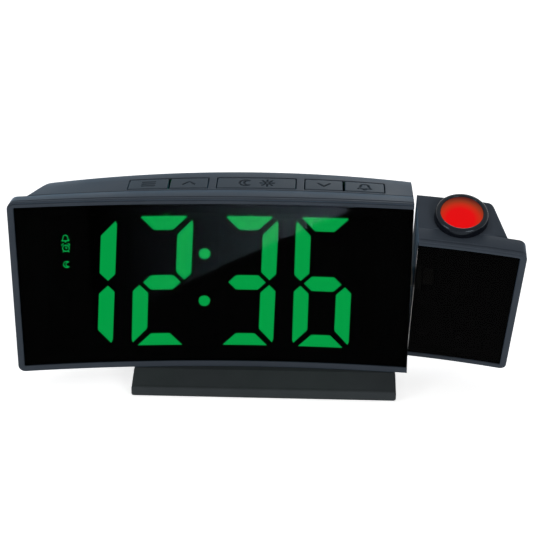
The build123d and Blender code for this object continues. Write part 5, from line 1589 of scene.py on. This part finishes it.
class ALARMCLOCK_OT_studio(bpy.types.Operator):
    """Set up the floor, the lamps, the sky and the camera"""

    bl_idname = "alarm_clock.studio"
    bl_label = "Studio"

    def execute(self, context):
        studio = context.scene.clock_studio
        add_floor()
        add_sky(studio.sky)
        for name, (place, size) in LAMPS.items():
            add_lamp(name + "_lamp", place, size, getattr(studio, name))
        add_camera()
        context.view_layer.update()
        add_card(studio.card)
        context.scene.view_settings.view_transform = "Standard"
        return {"FINISHED"}


# ---- Panel and registration ---------------------------------------------------------------------
OPERATORS = (
    ALARMCLOCK_OT_shells,
    ALARMCLOCK_OT_frames,
    ALARMCLOCK_OT_windows,
    ALARMCLOCK_OT_buttons,
    ALARMCLOCK_OT_display,
    ALARMCLOCK_OT_lens,
    ALARMCLOCK_OT_foot,
    ALARMCLOCK_OT_cell_cover,
    ALARMCLOCK_OT_inner_parts,
    ALARMCLOCK_OT_studio,
)


class ALARMCLOCK_PT_sidebar(bpy.types.Panel):
    """Sizes, colours and lamps, and a button for each group of pieces"""

    bl_idname = "ALARMCLOCK_PT_sidebar"
    bl_label = "Projection Alarm Clock"
    bl_space_type = "VIEW_3D"
    bl_region_type = "UI"
    bl_category = "Alarm Clock"

    def draw(self, context):
        scene = context.scene
        for group in (scene.clock_sizes, scene.clock_colours, scene.clock_studio):
            box = self.layout.box()
            for name in group.__annotations__:
                box.prop(group, name)
        for operator in OPERATORS:
            self.layout.operator(operator.bl_idname)


PROPERTY_GROUPS = {
    "clock_sizes": ClockSizes,
    "clock_colours": ClockColours,
    "clock_studio": ClockStudio,
}


def register():
    """Registers every class, and hangs the properties on the scene."""
    for kind in (*PROPERTY_GROUPS.values(), *OPERATORS, ALARMCLOCK_PT_sidebar):
        bpy.utils.register_class(kind)
    for name, kind in PROPERTY_GROUPS.items():
        setattr(bpy.types.Scene, name, PointerProperty(type=kind))


def unregister():
    """Takes away what register made."""
    for name in PROPERTY_GROUPS:
        delattr(bpy.types.Scene, name)
    for kind in (ALARMCLOCK_PT_sidebar, *reversed(OPERATORS), *PROPERTY_GROUPS.values()):
        bpy.utils.unregister_class(kind)


def main():
    """Builds everything by the operators."""
    register()
    bpy.ops.alarm_clock.shells()
    bpy.ops.alarm_clock.frames()
    bpy.ops.alarm_clock.windows()
    bpy.ops.alarm_clock.buttons()
    bpy.ops.alarm_clock.display()
    bpy.ops.alarm_clock.lens()
    bpy.ops.alarm_clock.foot()
    bpy.ops.alarm_clock.cell_cover()
    bpy.ops.alarm_clock.inner_parts()
    bpy.ops.alarm_clock.studio()


if __name__ == "__main__":
    main()
